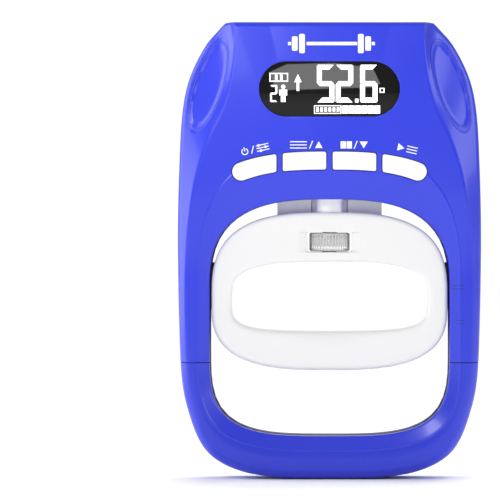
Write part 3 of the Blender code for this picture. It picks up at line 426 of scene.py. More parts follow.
def corner_rounded(outline, radius, per_corner=6):
    """Rounds the sharp corners of a closed outline: where it turns by more than 50 degrees, points
    nearer than the radius make way for the curve (1-t)^2 E + 2t(1-t) P + t^2 X."""
    before, after = np.roll(outline, 1, axis=0) - outline, np.roll(outline, -1, axis=0) - outline
    b, a = (way / np.hypot(*way.T)[:, None] for way in (before, after))
    sharp = (b * a).sum(axis=1) > -math.cos(math.radians(50))
    away = np.hypot(*(outline[:, None] - outline[None, sharp]).transpose(2, 0, 1)).min(axis=1)
    t = np.linspace(0, 1, per_corner)[None, :, None]
    p, e, x = (value[:, None] for value in (outline, outline + b * radius, outline + a * radius))
    arcs = (1 - t) ** 2 * e + 2 * t * (1 - t) * p + t**2 * x
    kept = np.repeat((away > radius * 1.1)[:, None], per_corner, axis=1)
    kept[:, 1:] = False
    kept[sharp] = True
    rows = np.where(sharp[:, None, None], arcs, p)
    return rows[kept]


def signed_area(outline):
    """Twice the area inside a closed outline, above 0 where it runs anticlockwise."""
    x, z = outline.T
    return np.sum(x * np.roll(z, -1) - np.roll(x, -1) * z)


def outline_normals(outline):
    """Outward unit normals of a closed outline, whichever way round it runs."""
    ahead = np.roll(outline, -1, axis=0) - np.roll(outline, 1, axis=0)
    normal = np.column_stack([ahead[:, 1], -ahead[:, 0]])
    normal /= np.hypot(*normal.T)[:, None]
    return normal if signed_area(outline) > 0 else -normal


# ---- meshes ----------------------------------------------------------------------------------
def finish_mesh(bm, name, sharp=SHARP_ANGLE):
    """Merges doubled points, turns the faces outwards and shades smooth up to an edge angle."""
    bmesh.ops.remove_doubles(bm, verts=bm.verts, dist=MERGE)
    bmesh.ops.dissolve_degenerate(bm, edges=bm.edges, dist=MERGE / 2)
    bmesh.ops.recalc_face_normals(bm, faces=bm.faces)
    mesh = bpy.data.meshes.new(name)
    bm.to_mesh(mesh)
    bm.free()
    mesh.shade_smooth()
    mesh.set_sharp_from_angle(angle=math.radians(sharp))
    return mesh


def grid_piece(name, grid, wrap_rows=False, wrap_columns=True, caps=True, sharp=SHARP_ANGLE):
    """A closed surface from a grid of points: rows by columns by 3, with each end row capped."""
    rows, columns = grid.shape[:2]
    index = np.arange(rows * columns).reshape(rows, columns)
    if wrap_rows:
        index = np.vstack([index, index[:1]])
    if wrap_columns:
        index = np.hstack([index, index[:, :1]])
    quads = np.stack([index[:-1, :-1], index[1:, :-1], index[1:, 1:], index[:-1, 1:]], axis=-1)
    faces = quads.reshape(-1, 4).tolist()
    if caps and not wrap_rows:
        faces += [index[0, :columns].tolist(), index[-1, :columns].tolist()]
    mesh = bpy.data.meshes.new(name)
    mesh.from_pydata(grid.reshape(-1, 3).tolist(), [], faces)
    bm = bmesh.new()
    bm.from_mesh(mesh)
    bpy.data.meshes.remove(mesh)
    obj = bpy.data.objects.new(name, finish_mesh(bm, name, sharp=sharp))
    bpy.context.scene.collection.objects.link(obj)
    return obj


def ring_piece(name, outline, normals, profile, depth=None):
    """Rings of one outline, each moved out along its normals and set at a depth: profile is rows of
    (outward, y). With depth, a function of x and z, y counts from that surface."""
    profile = np.asarray(profile, float)
    flat = outline[None] + normals[None] * profile[:, None, :1]
    y = np.broadcast_to(profile[:, 1:], flat.shape[:2]).copy()
    if depth is not None:
        y += depth(flat[:, :, 0].ravel(), flat[:, :, 1].ravel()).reshape(y.shape)
    grid = np.stack([flat[:, :, 0], y, flat[:, :, 1]], axis=2)
    return grid_piece(name, grid)


def turned_piece(name, profile, centre, steps=64, ripple=None, bored=False, sharp=SHARP_ANGLE):
    """A profile of (radius, height) rows turned about the upright axis through centre: x = r cos a,
    y = r sin a. ripple takes angles and profile rows, and gives what is taken off each radius. bored
    closes the profile on itself, which leaves a bore along the axis."""
    profile = np.asarray(profile, float)
    angle = np.linspace(0, 2 * math.pi, steps, endpoint=False)
    radius = np.broadcast_to(profile[:, :1], (len(profile), steps)).copy()
    if ripple is not None:
        radius -= ripple(angle[None, :], profile)
    height = np.broadcast_to(profile[:, 1:], radius.shape)
    grid = np.stack([radius * np.cos(angle), radius * np.sin(angle), height], axis=2)
    return grid_piece(name, grid + np.asarray(centre), wrap_rows=bored, sharp=sharp)


def plug(name, radius, length, centre, steps):
    """A plain upright cylinder."""
    return turned_piece(name, [(0, 0), (radius, 0), (radius, length), (0, length)], centre, steps=steps)


def cut(piece, cutters):
    """Takes the cutters out of the piece, applies the result and removes them."""
    group = bpy.data.collections.new(piece.name + "_cutters")
    bpy.context.scene.collection.children.link(group)
    for cutter in cutters:
        for holder in list(cutter.users_collection):
            holder.objects.unlink(cutter)
        group.objects.link(cutter)
    modifier = piece.modifiers.new("cut", "BOOLEAN")
    modifier.operation = "DIFFERENCE"
    modifier.solver = "EXACT"
    modifier.operand_type = "COLLECTION"
    modifier.collection = group
    bpy.context.view_layer.update()
    result = bpy.data.meshes.new_from_object(piece.evaluated_get(bpy.context.evaluated_depsgraph_get()))
    piece.modifiers.clear()
    old = piece.data
    piece.data = result
    bpy.data.meshes.remove(old)
    for cutter in cutters:
        bpy.data.objects.remove(cutter)
    bpy.data.collections.remove(group)
    result.set_sharp_from_angle(angle=math.radians(SHARP_ANGLE))
    return piece


def place(piece, body, finish, slot, *replaced):
    """Gives a piece its finish and body, and hides the frame nodes that it stands for."""
    piece.data.materials.clear()
    piece.data.materials.append(finish)
    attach(piece, body)
    if replaced:
        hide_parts(*replaced)
    return piece


def refinish(finish, *nodes):
    """Gives frame nodes that stay a better finish."""
    for node in nodes:
        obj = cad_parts[node]
        obj.data.materials.clear()
        obj.data.materials.append(finish)


# ---- finishes --------------------------------------------------------------------------------
def effect_group(name, inputs, outputs):
    """A shader node group with named sockets, and its two end nodes."""
    group = bpy.data.node_groups.new(name, "ShaderNodeTree")
    for label, kind, value in inputs:
        socket = group.interface.new_socket(name=label, in_out="INPUT", socket_type=kind)
        if value is not None:
            socket.default_value = value
    for label, kind in outputs:
        group.interface.new_socket(name=label, in_out="OUTPUT", socket_type=kind)
    return group, group.nodes.new("NodeGroupInput"), group.nodes.new("NodeGroupOutput")


def node(tree, kind, links=(), **settings):
    """Adds a node, sets its properties and input values, and links sockets into it."""
    made = tree.nodes.new(kind)
    for key, value in settings.items():
        if key.startswith("in_"):
            made.inputs[int(key[3:])].default_value = value
        else:
            setattr(made, key, value)
    for target, source in links:
        tree.links.new(source, made.inputs[target])
    return made


def combined(tree, operation, first, second, kind="Math"):
    """A math node on two sockets."""
    return node(tree, "ShaderNode" + kind, [(0, first), (1, second)], operation=operation)


def mixed(tree, factor, first, second):
    """A colour mix from a socket to a plain colour, by a factor socket."""
    mix = node(tree, "ShaderNodeMix", [(0, factor), (6, first)], data_type="RGBA")
    mix.inputs[7].default_value = (*second, 1)
    return mix.outputs[2]


def base_colour(made):
    """A material's tree, shader, the socket that colours it and its Object coordinates."""
    tree = made.node_tree
    shader = tree.nodes["Principled BSDF"]
    colour = shader.inputs["Base Color"].links[0].from_socket
    coordinates = next(n for n in tree.nodes if n.type == "TEX_COORD")
    return tree, shader, colour, coordinates.outputs["Object"]


def moulded_grain():
    """Fine spark-eroded grain: two octaves of noise for the height, and a slow cloud for uneven gloss."""
    group, start, end = effect_group(
        "moulded_grain",
        [
            ("Position", "NodeSocketVector", None),
            ("Grain", "NodeSocketFloat", 2600.0), ("Cloud", "NodeSocketFloat", 40.0),
        ],
        [("Height", "NodeSocketFloat"), ("Cloudiness", "NodeSocketFloat")],
    )
    position = start.outputs["Position"]
    for scale, detail, output in (("Grain", 2.0, "Height"), ("Cloud", 3.0, "Cloudiness")):
        noise = node(group, "ShaderNodeTexNoise", [("Vector", position), ("Scale", start.outputs[scale])])
        noise.inputs["Detail"].default_value = detail
        group.links.new(noise.outputs["Fac"], end.inputs[output])
    return group


def brushed_lines():
    """Fine turning or brushing lines: noise stretched along one axis."""
    group, start, end = effect_group(
        "brushed_lines",
        [("Position", "NodeSocketVector", None), ("Stretch", "NodeSocketVector", (60.0, 60.0, 6000.0))],
        [("Height", "NodeSocketFloat")],
    )
    scaled = combined(group, "MULTIPLY", start.outputs["Position"], start.outputs["Stretch"], "VectorMath")
    lines = node(group, "ShaderNodeTexNoise", [("Vector", scaled.outputs["Vector"])])
    lines.inputs["Scale"].default_value = 1.0
    lines.inputs["Detail"].default_value = 3.0
    group.links.new(lines.outputs["Fac"], end.inputs["Height"])
    return group


def groove_shade_box():
    """1 inside the box from Low to High and 0 outside it: the least of the six distances to its sides, times
    9000 per metre, plus a half, held between 0 and 1. The mask says where the span marks' grooves get
    painted shade."""
    group, start, end = effect_group(
        "groove_shade_box",
        [
            ("Position", "NodeSocketVector", None),
            ("Low", "NodeSocketVector", (0, 0, 0)), ("High", "NodeSocketVector", (0, 0, 0)),
        ],
        [("Mask", "NodeSocketFloat")],
    )
    position, low, high = (start.outputs[name] for name in ("Position", "Low", "High"))
    above = combined(group, "SUBTRACT", position, low, "VectorMath")
    below = combined(group, "SUBTRACT", high, position, "VectorMath")
    least = combined(group, "MINIMUM", above.outputs[0], below.outputs[0], "VectorMath")
    split = node(group, "ShaderNodeSeparateXYZ", [(0, least.outputs[0])])
    pair = combined(group, "MINIMUM", split.outputs["X"], split.outputs["Y"])
    nearest = combined(group, "MINIMUM", pair.outputs[0], split.outputs["Z"])
    ramp = node(group, "ShaderNodeMath", [(0, nearest.outputs[0])], operation="MULTIPLY_ADD", use_clamp=True,
                in_1=9000.0, in_2=0.5)
    group.links.new(ramp.outputs[0], end.inputs["Mask"])
    return group


def oval_groove():
    """1 on the outline of the turned oval sqrt((u/b)^2 + (v/a)^2) = 1, mirrored in x, falling to 0 within
    Width on both sides, and 0 everywhere behind the parting plane."""
    centre_x, centre_z, b, a, tilt = SHOULDER_LEAF
    group, start, end = effect_group(
        "oval_groove",
        [("Position", "NodeSocketVector", None), ("Width", "NodeSocketFloat", 0.45 * MM)],
        [("Mask", "NodeSocketFloat")],
    )
    folded = node(group, "ShaderNodeVectorMath", [(0, start.outputs["Position"])], operation="ABSOLUTE")
    local = node(group, "ShaderNodeMapping", [("Vector", folded.outputs["Vector"])], vector_type="TEXTURE")
    local.inputs["Location"].default_value = (centre_x, 0, centre_z)
    local.inputs["Rotation"].default_value = (0, -tilt, 0)
    local.inputs["Scale"].default_value = (b, 1e6, a)
    radius = node(group, "ShaderNodeVectorMath", [(0, local.outputs["Vector"])], operation="LENGTH")
    off = node(group, "ShaderNodeMath", [(0, radius.outputs["Value"])], operation="SUBTRACT", in_1=1.0)
    apart = node(group, "ShaderNodeMath", [(0, off.outputs[0])], operation="ABSOLUTE")
    size = node(group, "ShaderNodeMath", [(0, apart.outputs[0])], operation="MULTIPLY", in_1=b * 1.1)
    ramp = node(group, "ShaderNodeMapRange", [(0, size.outputs[0]), (2, start.outputs["Width"])],
                interpolation_type="SMOOTHSTEP", in_1=0.0, in_3=1.0, in_4=0.0)
    split = node(group, "ShaderNodeSeparateXYZ", [(0, start.outputs["Position"])])
    in_front = node(group, "ShaderNodeMath", [(0, split.outputs["Y"])], operation="LESS_THAN", in_1=0.0)
    mask = combined(group, "MULTIPLY", ramp.outputs[0], in_front.outputs[0])
    group.links.new(mask.outputs[0], end.inputs["Mask"])
    return group


def plastic(name, colour, roughness, grain=0.1, coat=0.0, cloud=0.05, scale=2600.0):
    """Moulded plastic: a flat colour with slow changes of tone, uneven gloss and a fine grain."""
    made = bpy.data.materials.new("finish_" + name)
    made.use_nodes = True
    tree = made.node_tree
    shader = tree.nodes["Principled BSDF"]
    shader.inputs["Coat Weight"].default_value = coat
    shader.inputs["Coat Roughness"].default_value = 0.12
    place_node = node(tree, "ShaderNodeTexCoord")
    effect = node(tree, "ShaderNodeGroup", node_tree=bpy.data.node_groups["moulded_grain"])
    tree.links.new(place_node.outputs["Object"], effect.inputs["Position"])
    effect.inputs["Grain"].default_value = scale
    mix = node(tree, "ShaderNodeMix", [(0, effect.outputs["Cloudiness"])], data_type="RGBA")
    mix.inputs[6].default_value = (*[c * (1 - cloud) for c in colour], 1)
    mix.inputs[7].default_value = (*[min(c * (1 + cloud), 1) for c in colour], 1)
    gloss = node(tree, "ShaderNodeMapRange", [(0, effect.outputs["Cloudiness"])])
    gloss.inputs[3].default_value = roughness - 0.04
    gloss.inputs[4].default_value = roughness + 0.04
    bump = node(tree, "ShaderNodeBump", [("Height", effect.outputs["Height"])])
    bump.inputs["Strength"].default_value = grain
    bump.inputs["Distance"].default_value = 0.00006
    tree.links.new(mix.outputs[2], shader.inputs["Base Color"])
    tree.links.new(gloss.outputs[0], shader.inputs["Roughness"])
    tree.links.new(bump.outputs["Normal"], shader.inputs["Normal"])
    return made


def shell_with_groove_shade(settings):
    """The covers' blue, with painted shade for the two pairs of span marks on the right arm: their grooves
    are shown only as darker blue.
    """
    made = plastic("shell_blue", settings.colour, settings.roughness, 0.12, 0.25)
    tree, shader, colour, position = base_colour(made)
    total = None
    for left, right, z in ((50.9, 56.0, 80.5), (50.9, 56.0, 79.2), (52.6, 56.0, 66.1), (52.6, 56.0, 64.8)):
        mark = node(tree, "ShaderNodeGroup", node_tree=bpy.data.node_groups["groove_shade_box"])
        tree.links.new(position, mark.inputs["Position"])
        mark.inputs["Low"].default_value = (left * MM, -1, (z - 0.13) * MM)
        mark.inputs["High"].default_value = (right * MM, -10 * MM, (z + 0.13) * MM)
        mask = mark.outputs["Mask"]
        total = mask if total is None else combined(tree, "MAXIMUM", total, mask).outputs[0]
    # Painted shade: the span marks' grooves are not cut, only darkened to 0.28 of the blue.
    painted_groove_shade = mixed(tree, total, colour, [c * 0.28 for c in settings.colour])
    tree.links.new(painted_groove_shade, shader.inputs["Base Color"])
    groove = node(tree, "ShaderNodeGroup", node_tree=bpy.data.node_groups["oval_groove"])
    tree.links.new(position, groove.inputs["Position"])
    carved = node(tree, "ShaderNodeBump", [("Height", groove.outputs["Mask"])], invert=True)
    carved.inputs["Strength"].default_value = 1.0
    carved.inputs["Distance"].default_value = 0.35 * MM
    grain = shader.inputs["Normal"].links[0].from_node
    tree.links.new(carved.outputs["Normal"], grain.inputs["Normal"])
    return made


def metal(name, colour, roughness, stretch=(60.0, 60.0, 6000.0), depth=0.15):
    """Bare or plated metal with fine turning lines."""
    made = bpy.data.materials.new("finish_" + name)
    made.use_nodes = True
    tree = made.node_tree
    shader = tree.nodes["Principled BSDF"]
    shader.inputs["Metallic"].default_value = 1.0
    place_node = node(tree, "ShaderNodeTexCoord")
    lines = node(tree, "ShaderNodeGroup", node_tree=bpy.data.node_groups["brushed_lines"])
    lines.inputs["Stretch"].default_value = stretch
    tree.links.new(place_node.outputs["Object"], lines.inputs["Position"])
    mix = node(tree, "ShaderNodeMix", [(0, lines.outputs["Height"])], data_type="RGBA")
    mix.inputs[6].default_value = (*[c * 0.93 for c in colour], 1)
    mix.inputs[7].default_value = (*colour, 1)
    gloss = node(tree, "ShaderNodeMapRange", [(0, lines.outputs["Height"])])
    gloss.inputs[3].default_value = roughness * 0.75
    gloss.inputs[4].default_value = roughness * 1.25
    bump = node(tree, "ShaderNodeBump", [("Height", lines.outputs["Height"])])
    bump.inputs["Strength"].default_value = depth
    bump.inputs["Distance"].default_value = 0.00002
    tree.links.new(mix.outputs[2], shader.inputs["Base Color"])
    tree.links.new(gloss.outputs[0], shader.inputs["Roughness"])
    tree.links.new(bump.outputs["Normal"], shader.inputs["Normal"])
    return made


def glowing(name, colour, strength):
    """Lit liquid-crystal segments: white with a faint uneven backlight."""
    made = plastic(name, colour, 0.5, 0.0, 0.0, 0.02, 500.0)
    tree = made.node_tree
    shader = tree.nodes["Principled BSDF"]
    tree.links.new(shader.inputs["Base Color"].links[0].from_socket, shader.inputs["Emission Color"])
    shader.inputs["Emission Strength"].default_value = strength
    return made


def circuit_board(name):
    """Solder mask over copper: thin paler tracks where a brick pattern's joints run."""
    made = plastic(name, (0.015, 0.16, 0.06), 0.35, 0.1, 0.3)
    tree, shader, colour, position = base_colour(made)
    turned = node(tree, "ShaderNodeMapping", [("Vector", position)])
    turned.inputs["Rotation"].default_value = (math.pi / 2, 0, 0)
    tracks = node(tree, "ShaderNodeTexBrick", [("Vector", turned.outputs["Vector"])])
    sizes = {"Scale": 260.0, "Mortar Size": 0.02, "Row Height": 0.35, "Brick Width": 1.7}
    for label, value in sizes.items():
        tracks.inputs[label].default_value = value
    paler = mixed(tree, tracks.outputs["Fac"], colour, (0.05, 0.32, 0.12))
    tree.links.new(paler, shader.inputs["Base Color"])
    return made


def battery_wrap():
    """Shrink wrap printed in two plain bands: pale grey over the body and slate at the positive end."""
    made = metal("battery_wrap", (0.60, 0.61, 0.60), 0.3, (2000.0, 60.0, 60.0), 0.05)
    tree, shader, colour, position = base_colour(made)
    shader.inputs["Metallic"].default_value = 0.6
    split = node(tree, "ShaderNodeSeparateXYZ", [("Vector", position)])
    band = node(tree, "ShaderNodeMath", [(0, split.outputs["X"])], operation="GREATER_THAN", in_1=12 * MM)
    slate = mixed(tree, band.outputs[0], colour, (0.16, 0.19, 0.22))
    tree.links.new(slate, shader.inputs["Base Color"])
    return made


def make_finishes():
    """Builds the effect groups and every finish of the object."""
    scene = bpy.context.scene
    shell, handle, display = scene.dyno_shell, scene.dyno_handle, scene.dyno_display
    moulded_grain()
    brushed_lines()
    groove_shade_box()
    oval_groove()
    shell_with_groove_shade(shell)
    plastic("handle_white", handle.colour, 0.42, 0.1, 0.15, 0.01)
    plastic("button_white", (0.93, 0.93, 0.93), 0.4, 0.08, 0.1, 0.01)
    # The frame's black: its own colour on the rails, and painted shade where the rim shows round the
    # opening.
    plastic("frame_black", (0.012, 0.013, 0.022), 0.45, 0.3, 0.0, 0.1, 1800.0)
    lens = plastic("lens_dark", (0.004, 0.004, 0.004), 0.04, 0.0, 0.0, 0.03)
    lens.node_tree.nodes["Principled BSDF"].inputs["Specular IOR Level"].default_value = 0.22
    plastic("lcd", (0.015, 0.015, 0.018), 0.25, 0.02, 0.0, 0.05)
    plastic("backlight", (0.85, 0.85, 0.82), 0.5, 0.05, 0.0, 0.02)
    plastic("print_white", (0.95, 0.95, 0.95), 0.5, 0.05, 0.0, 0.02)
    plastic("black_plastic", (0.02, 0.02, 0.022), 0.45, 0.2, 0.0, 0.1)
    plastic("rubber_mat", (0.05, 0.05, 0.052), 0.7, 0.25, 0.0, 0.1, 1500.0)
    plastic("grey_plastic", (0.90, 0.90, 0.89), 0.38, 0.1, 0.1, 0.02)
    plastic("gauge_foil", (0.65, 0.40, 0.10), 0.35, 0.15, 0.2, 0.1)
    plastic("lead_red", (0.55, 0.02, 0.02), 0.5, 0.1, 0.0, 0.05)
    plastic("lead_black", (0.02, 0.02, 0.02), 0.5, 0.1, 0.0, 0.05)
    circuit_board("board")
    battery_wrap()
    metal("steel", (0.66, 0.66, 0.67), 0.3)
    metal("knurled_steel", (0.92, 0.92, 0.92), 0.16)
    metal("bright_metal", (0.99, 0.99, 0.99), 0.45)
    metal("aluminium", (0.78, 0.79, 0.80), 0.35, (6000.0, 80.0, 80.0))
    metal("brass", (0.80, 0.62, 0.28), 0.28)
    glowing("segment_white", (0.95, 0.97, 0.98), display.glow)


def finish_of(name):
    """The finish of that name."""
    return bpy.data.materials["finish_" + name]


# ---- covers ----------------------------------------------------------------------------------
def sunk_shoulders(points, depth):
    """Sinks the two oval shoulder recesses into the face.

    With q = sqrt((u/b)^2 + (v/a)^2) in the oval's own turned axes u and v, the face sinks by depth
    times 3t^2 - 2t^3, where t = (1 - q) / 0.2 held between 0 and 1.
    """
    centre_x, centre_z, b, a, tilt = SHOULDER_LEAF
    x, z = np.abs(points[..., 0]) - centre_x, points[..., 2] - centre_z
    u = x * math.cos(tilt) + z * math.sin(tilt)
    v = z * math.cos(tilt) - x * math.sin(tilt)
    t = np.clip((1.0 - np.hypot(u / b, v / a)) / 0.2, 0, 1)
    moved = points.copy()
    moved[..., 1] += np.where(points[..., 1] < -2 * MM, depth * t * t * (3 - 2 * t), 0)
    return moved


def front_grid(low, high, count, shell):
    """The front wall's rounded section carried round the loop, with a crown and a bead.

    The crown lifts the face between its ridges by 4t(1 - t) times 0.4 mm, only on the loop. The bead
    along the inner ridge lifts it by 0.22 mm times exp(-((r - r1 - 0.5) / 0.4)^2), r in millimetres,
    and fades out towards the keys.
    """
    loops = body_loops()
    origin, direction = stations(loops[2], low, high, count)
    corners = front_corners(origin, direction, loops)
    radii = [0, 0.7 * MM, shell.crease, 0, 1.0 * MM, 2.2 * MM, 0.15 * MM, 0, 0, 0, 0, 0, 0]
    spans = [2, 6, 9, 34, 22, 3, 0, 0, 0, 0, 0, 0, 0]
    section = rounded_section(corners, radii, spans)
    r1, r2 = corners[:, 2, 0][:, None], corners[:, 4, 0][:, None]
    reached = section[:, :, 0]
    t = np.clip((reached - r1) / (r2 - r1), 0, 1)
    on_face = np.arange(section.shape[1])[None, :] < sum(spans[:5]) + 20
    x, z = direction[:, :1] * reached, origin[:, 1:] + direction[:, 1:] * reached
    clear = np.clip((np.abs(x) - 36 * MM) / (5 * MM), 0, 1) + (z < LOOP_Z)
    bead = 0.22 * MM * np.exp(-(((reached - r1 - 0.5 * MM) / (0.4 * MM)) ** 2)) * np.clip(clear, 0, 1)
    section[:, :, 1] -= np.where(on_face, 4 * t * (1 - t) * 0.4 * MM * (1 - headness(z)) + bead, 0)
    points = on_rays(origin, direction, section)
    inner = points.shape[1] - 6
    points[:, :inner] = sunk_shoulders(points[:, :inner], shell.dimple)
    return points


def surface_cutter(name, outline, lip, loops):
    """A cutter whose wall flares by a quarter round where it leaves the face, so that the cut edge is
    rounded: offset lip(1 - cos a) at depth lip(1 - sin a) below the face."""
    turn = np.linspace(0, math.pi / 2, 6)
    flare = [(lip * (1 - math.cos(a)), lip * (1 - math.sin(a))) for a in turn]
    profile = [(lip, -3 * MM), *flare[::-1], (0.0, 6 * MM)]
    return ring_piece(name, outline, outline_normals(outline), profile, lambda x, z: face_depth(x, z, loops))


def disc_outline(x, z, radius, steps=40):
    """A circle about (x, z)."""
    turn = np.linspace(0, 2 * math.pi, steps, endpoint=False)
    return np.column_stack([x + radius * np.cos(turn), z + radius * np.sin(turn)])


def prism(name, outline, y_front, y_back):
    """An outline carried straight through from front to back."""
    return ring_piece(name, outline, outline_normals(outline), [(0, y_front), (0, y_back)])


class DYNO_OT_front_covers(bpy.types.Operator):
    """Builds the two front covers, with the window and button openings in the head."""

    bl_idname = "dyno.front_covers"
    bl_label = "Front covers"

    def execute(self, context):
        shell = context.scene.dyno_shell
        loops = body_loops()
        blue = finish_of("shell_blue")
        head = grid_piece("head_shell_front", front_grid(SEAM_Z + GAP / 2, HEAD_TOP, shell.stations, shell))
        core, normal = stadium_frame(*LENS)
        cutters = [surface_cutter("window_cut", core + normal * (LENS[1] / 2 + 0.12 * MM), 0.2 * MM, loops)]
        for name, span in BUTTON_SPANS.items():
            outline = corner_rounded(button_outline(*span), 1.0 * MM)
            outline = outline + outline_normals(outline) * GAP
            cutters.append(surface_cutter(name + "_cut", outline, 0.25 * MM, loops))
        stem = disc_outline(0, 0, STEM[0] + 0.5 * MM)
        notch = prism("stem_notch", stem, 0, 12 * MM)
        notch.data.transform(upright_matrix(112 * MM))
        cutters.append(notch)
        cut(head, cutters)
        place(head, "housing", blue, "shell_blue", "front_cover")
        grip = grid_piece(
            "grip_shell_front", front_grid(0.0, SEAM_Z - GAP / 2, int(shell.stations * 0.42), shell)
        )
        place(grip, "housing", blue, "shell_blue", "grip_front_cover")
        return {"FINISHED"}


def upright_matrix(z):
    """Turns a piece made along Y to stand along Z from height z."""
    return Matrix.Translation((0, 0, z)) @ Matrix.Rotation(math.pi / 2, 4, "X")


class DYNO_OT_rear_covers(bpy.types.Operator):
    """Builds the two rear covers and the battery door."""

    bl_idname = "dyno.rear_covers"
    bl_label = "Rear covers"

    def execute(self, context):
        shell = context.scene.dyno_shell
        loops = body_loops()
        blue = finish_of("shell_blue")
        radii = [0.2 * MM, 5.5 * MM, 3.5 * MM, 0, 0, 1.0 * MM, 3.0 * MM, 0]
        spans = [3, 30, 3, 0, 2, 8, 2, 0]
        for name, node_name, low, high, share in (
            ("head_shell_rear", "rear_cover", SEAM_Z + GAP / 2, HEAD_TOP, 1.0),
            ("grip_shell_rear", "grip_rear_cover", 0.0, SEAM_Z - GAP / 2, 0.42),
        ):
            origin, direction = stations(loops[2], low, high, int(shell.stations * share * 0.8))
            section = rounded_section(rear_corners(origin, direction, loops), radii, spans, 8)
            cover = grid_piece(name, on_rays(origin, direction, section))
            cutters = []
            for number, (x, z) in enumerate(SCREWS):
                if (z * MM > SEAM_Z) == (node_name == "rear_cover"):
                    depth = float(face_level(REAR_LOOP, REAR_HEAD, z * MM)) + 2 * MM
                    recess = disc_outline(x * MM, z * MM, RECESS_RADIUS)
                    cutters.append(prism(f"recess_{number}", recess, 3 * MM, depth))
            if node_name == "rear_cover":
                width, low_z, high_z, _ = DOOR
                half = width / 2 + GAP
                outline = rounded_rectangle(-half, low_z - GAP, half, high_z + GAP, 2.2 * MM)
                cutters.append(prism("door_opening", outline, 12 * MM, 22 * MM))
                spine = rounded_rectangle(-10.5 * MM, 0, 10.5 * MM, 9.7 * MM, 0.5 * MM)
                slot = prism("spine_notch", spine, 0, 10 * MM)
                slot.data.transform(spine_matrix(112 * MM))
                cutters.append(slot)
            cut(cover, cutters)
            place(cover, "housing", blue, "shell_blue", node_name)
        width, low_z, high_z, thickness = DOOR
        door = battery_door(width, low_z, high_z, thickness)
        place(door, "battery_cover", blue, "shell_blue", "battery_door")
        return {"FINISHED"}


def spine_matrix(z):
    """Turns a piece whose outline's second axis is height so that it points along Y, from height z."""
    return Matrix.Translation((0, 0, z)) @ Matrix(((1, 0, 0, 0), (0, 0, 1, 0), (0, 1, 0, 0), (0, 0, 0, 1)))


def rounded_rectangle(x0, z0, x1, z1, radius, steps=8):
    """A rectangle between two corners, with round corners."""
    corners = [(x1 - radius, z1 - radius, 0), (x0 + radius, z1 - radius, 90),
               (x0 + radius, z0 + radius, 180), (x1 - radius, z0 + radius, 270)]
    rows = []
    for cx, cz, start in corners:
        turn = np.radians(np.linspace(start, start + 90, steps))
        rows.append(np.column_stack([cx + radius * np.cos(turn), cz + radius * np.sin(turn)]))
    return np.vstack(rows)


def battery_door(width, low, high, thickness):
    """The door: a slab with six grip ribs, max(0, cos) across a stretch near its lower edge, and a
    rounded border. The outer face is a grid over x and z, and the inner face is flat."""
    x = np.linspace(-width / 2, width / 2, 110)
    z = np.linspace(low, high, 120)
    X, Z = np.meshgrid(x, z)
    edge = np.minimum.reduce([X - x[0], x[-1] - X, Z - z[0], z[-1] - Z])
    drop = 0.5 * MM * np.clip(1 - edge / (0.5 * MM), 0, 1) ** 2
    t = (Z - (low + 3 * MM)) / (1.3 * MM)
    inside = (np.abs(X) < 9 * MM - 0.4 * MM * np.abs(t - 3)) & (t > 0) & (t < 6)
    ribs = np.where(inside, 0.35 * MM * np.clip(np.cos(2 * math.pi * (t - 0.5)), 0, 1) - 0.15 * MM, 0)
    outer = REAR_HEAD - drop + np.minimum(ribs, 0.0) - np.where(inside, 0.2 * MM, 0)
    front = np.stack([X, outer, Z], axis=2)
    back = np.stack([X, np.full_like(X, REAR_HEAD - thickness), Z], axis=2)
    grid = np.concatenate([back[:1], front, back[-1:]], axis=0)
    grid = np.concatenate([grid, grid[:, -1:]], axis=1)
    return close_back(grid_piece("battery_hatch", grid, wrap_columns=False, caps=False))


def close_back(piece):
    """Closes a slab's open border with one flat face."""
    bm = bmesh.new()
    bm.from_mesh(piece.data)
    border = [edge for edge in bm.edges if edge.is_boundary]
    bmesh.ops.holes_fill(bm, edges=border, sides=0)
    bmesh.ops.triangulate(bm, faces=[face for face in bm.faces if len(face.verts) > 4])
    old = piece.data
    piece.data = finish_mesh(bm, piece.name)
    bpy.data.meshes.remove(old)
    return piece


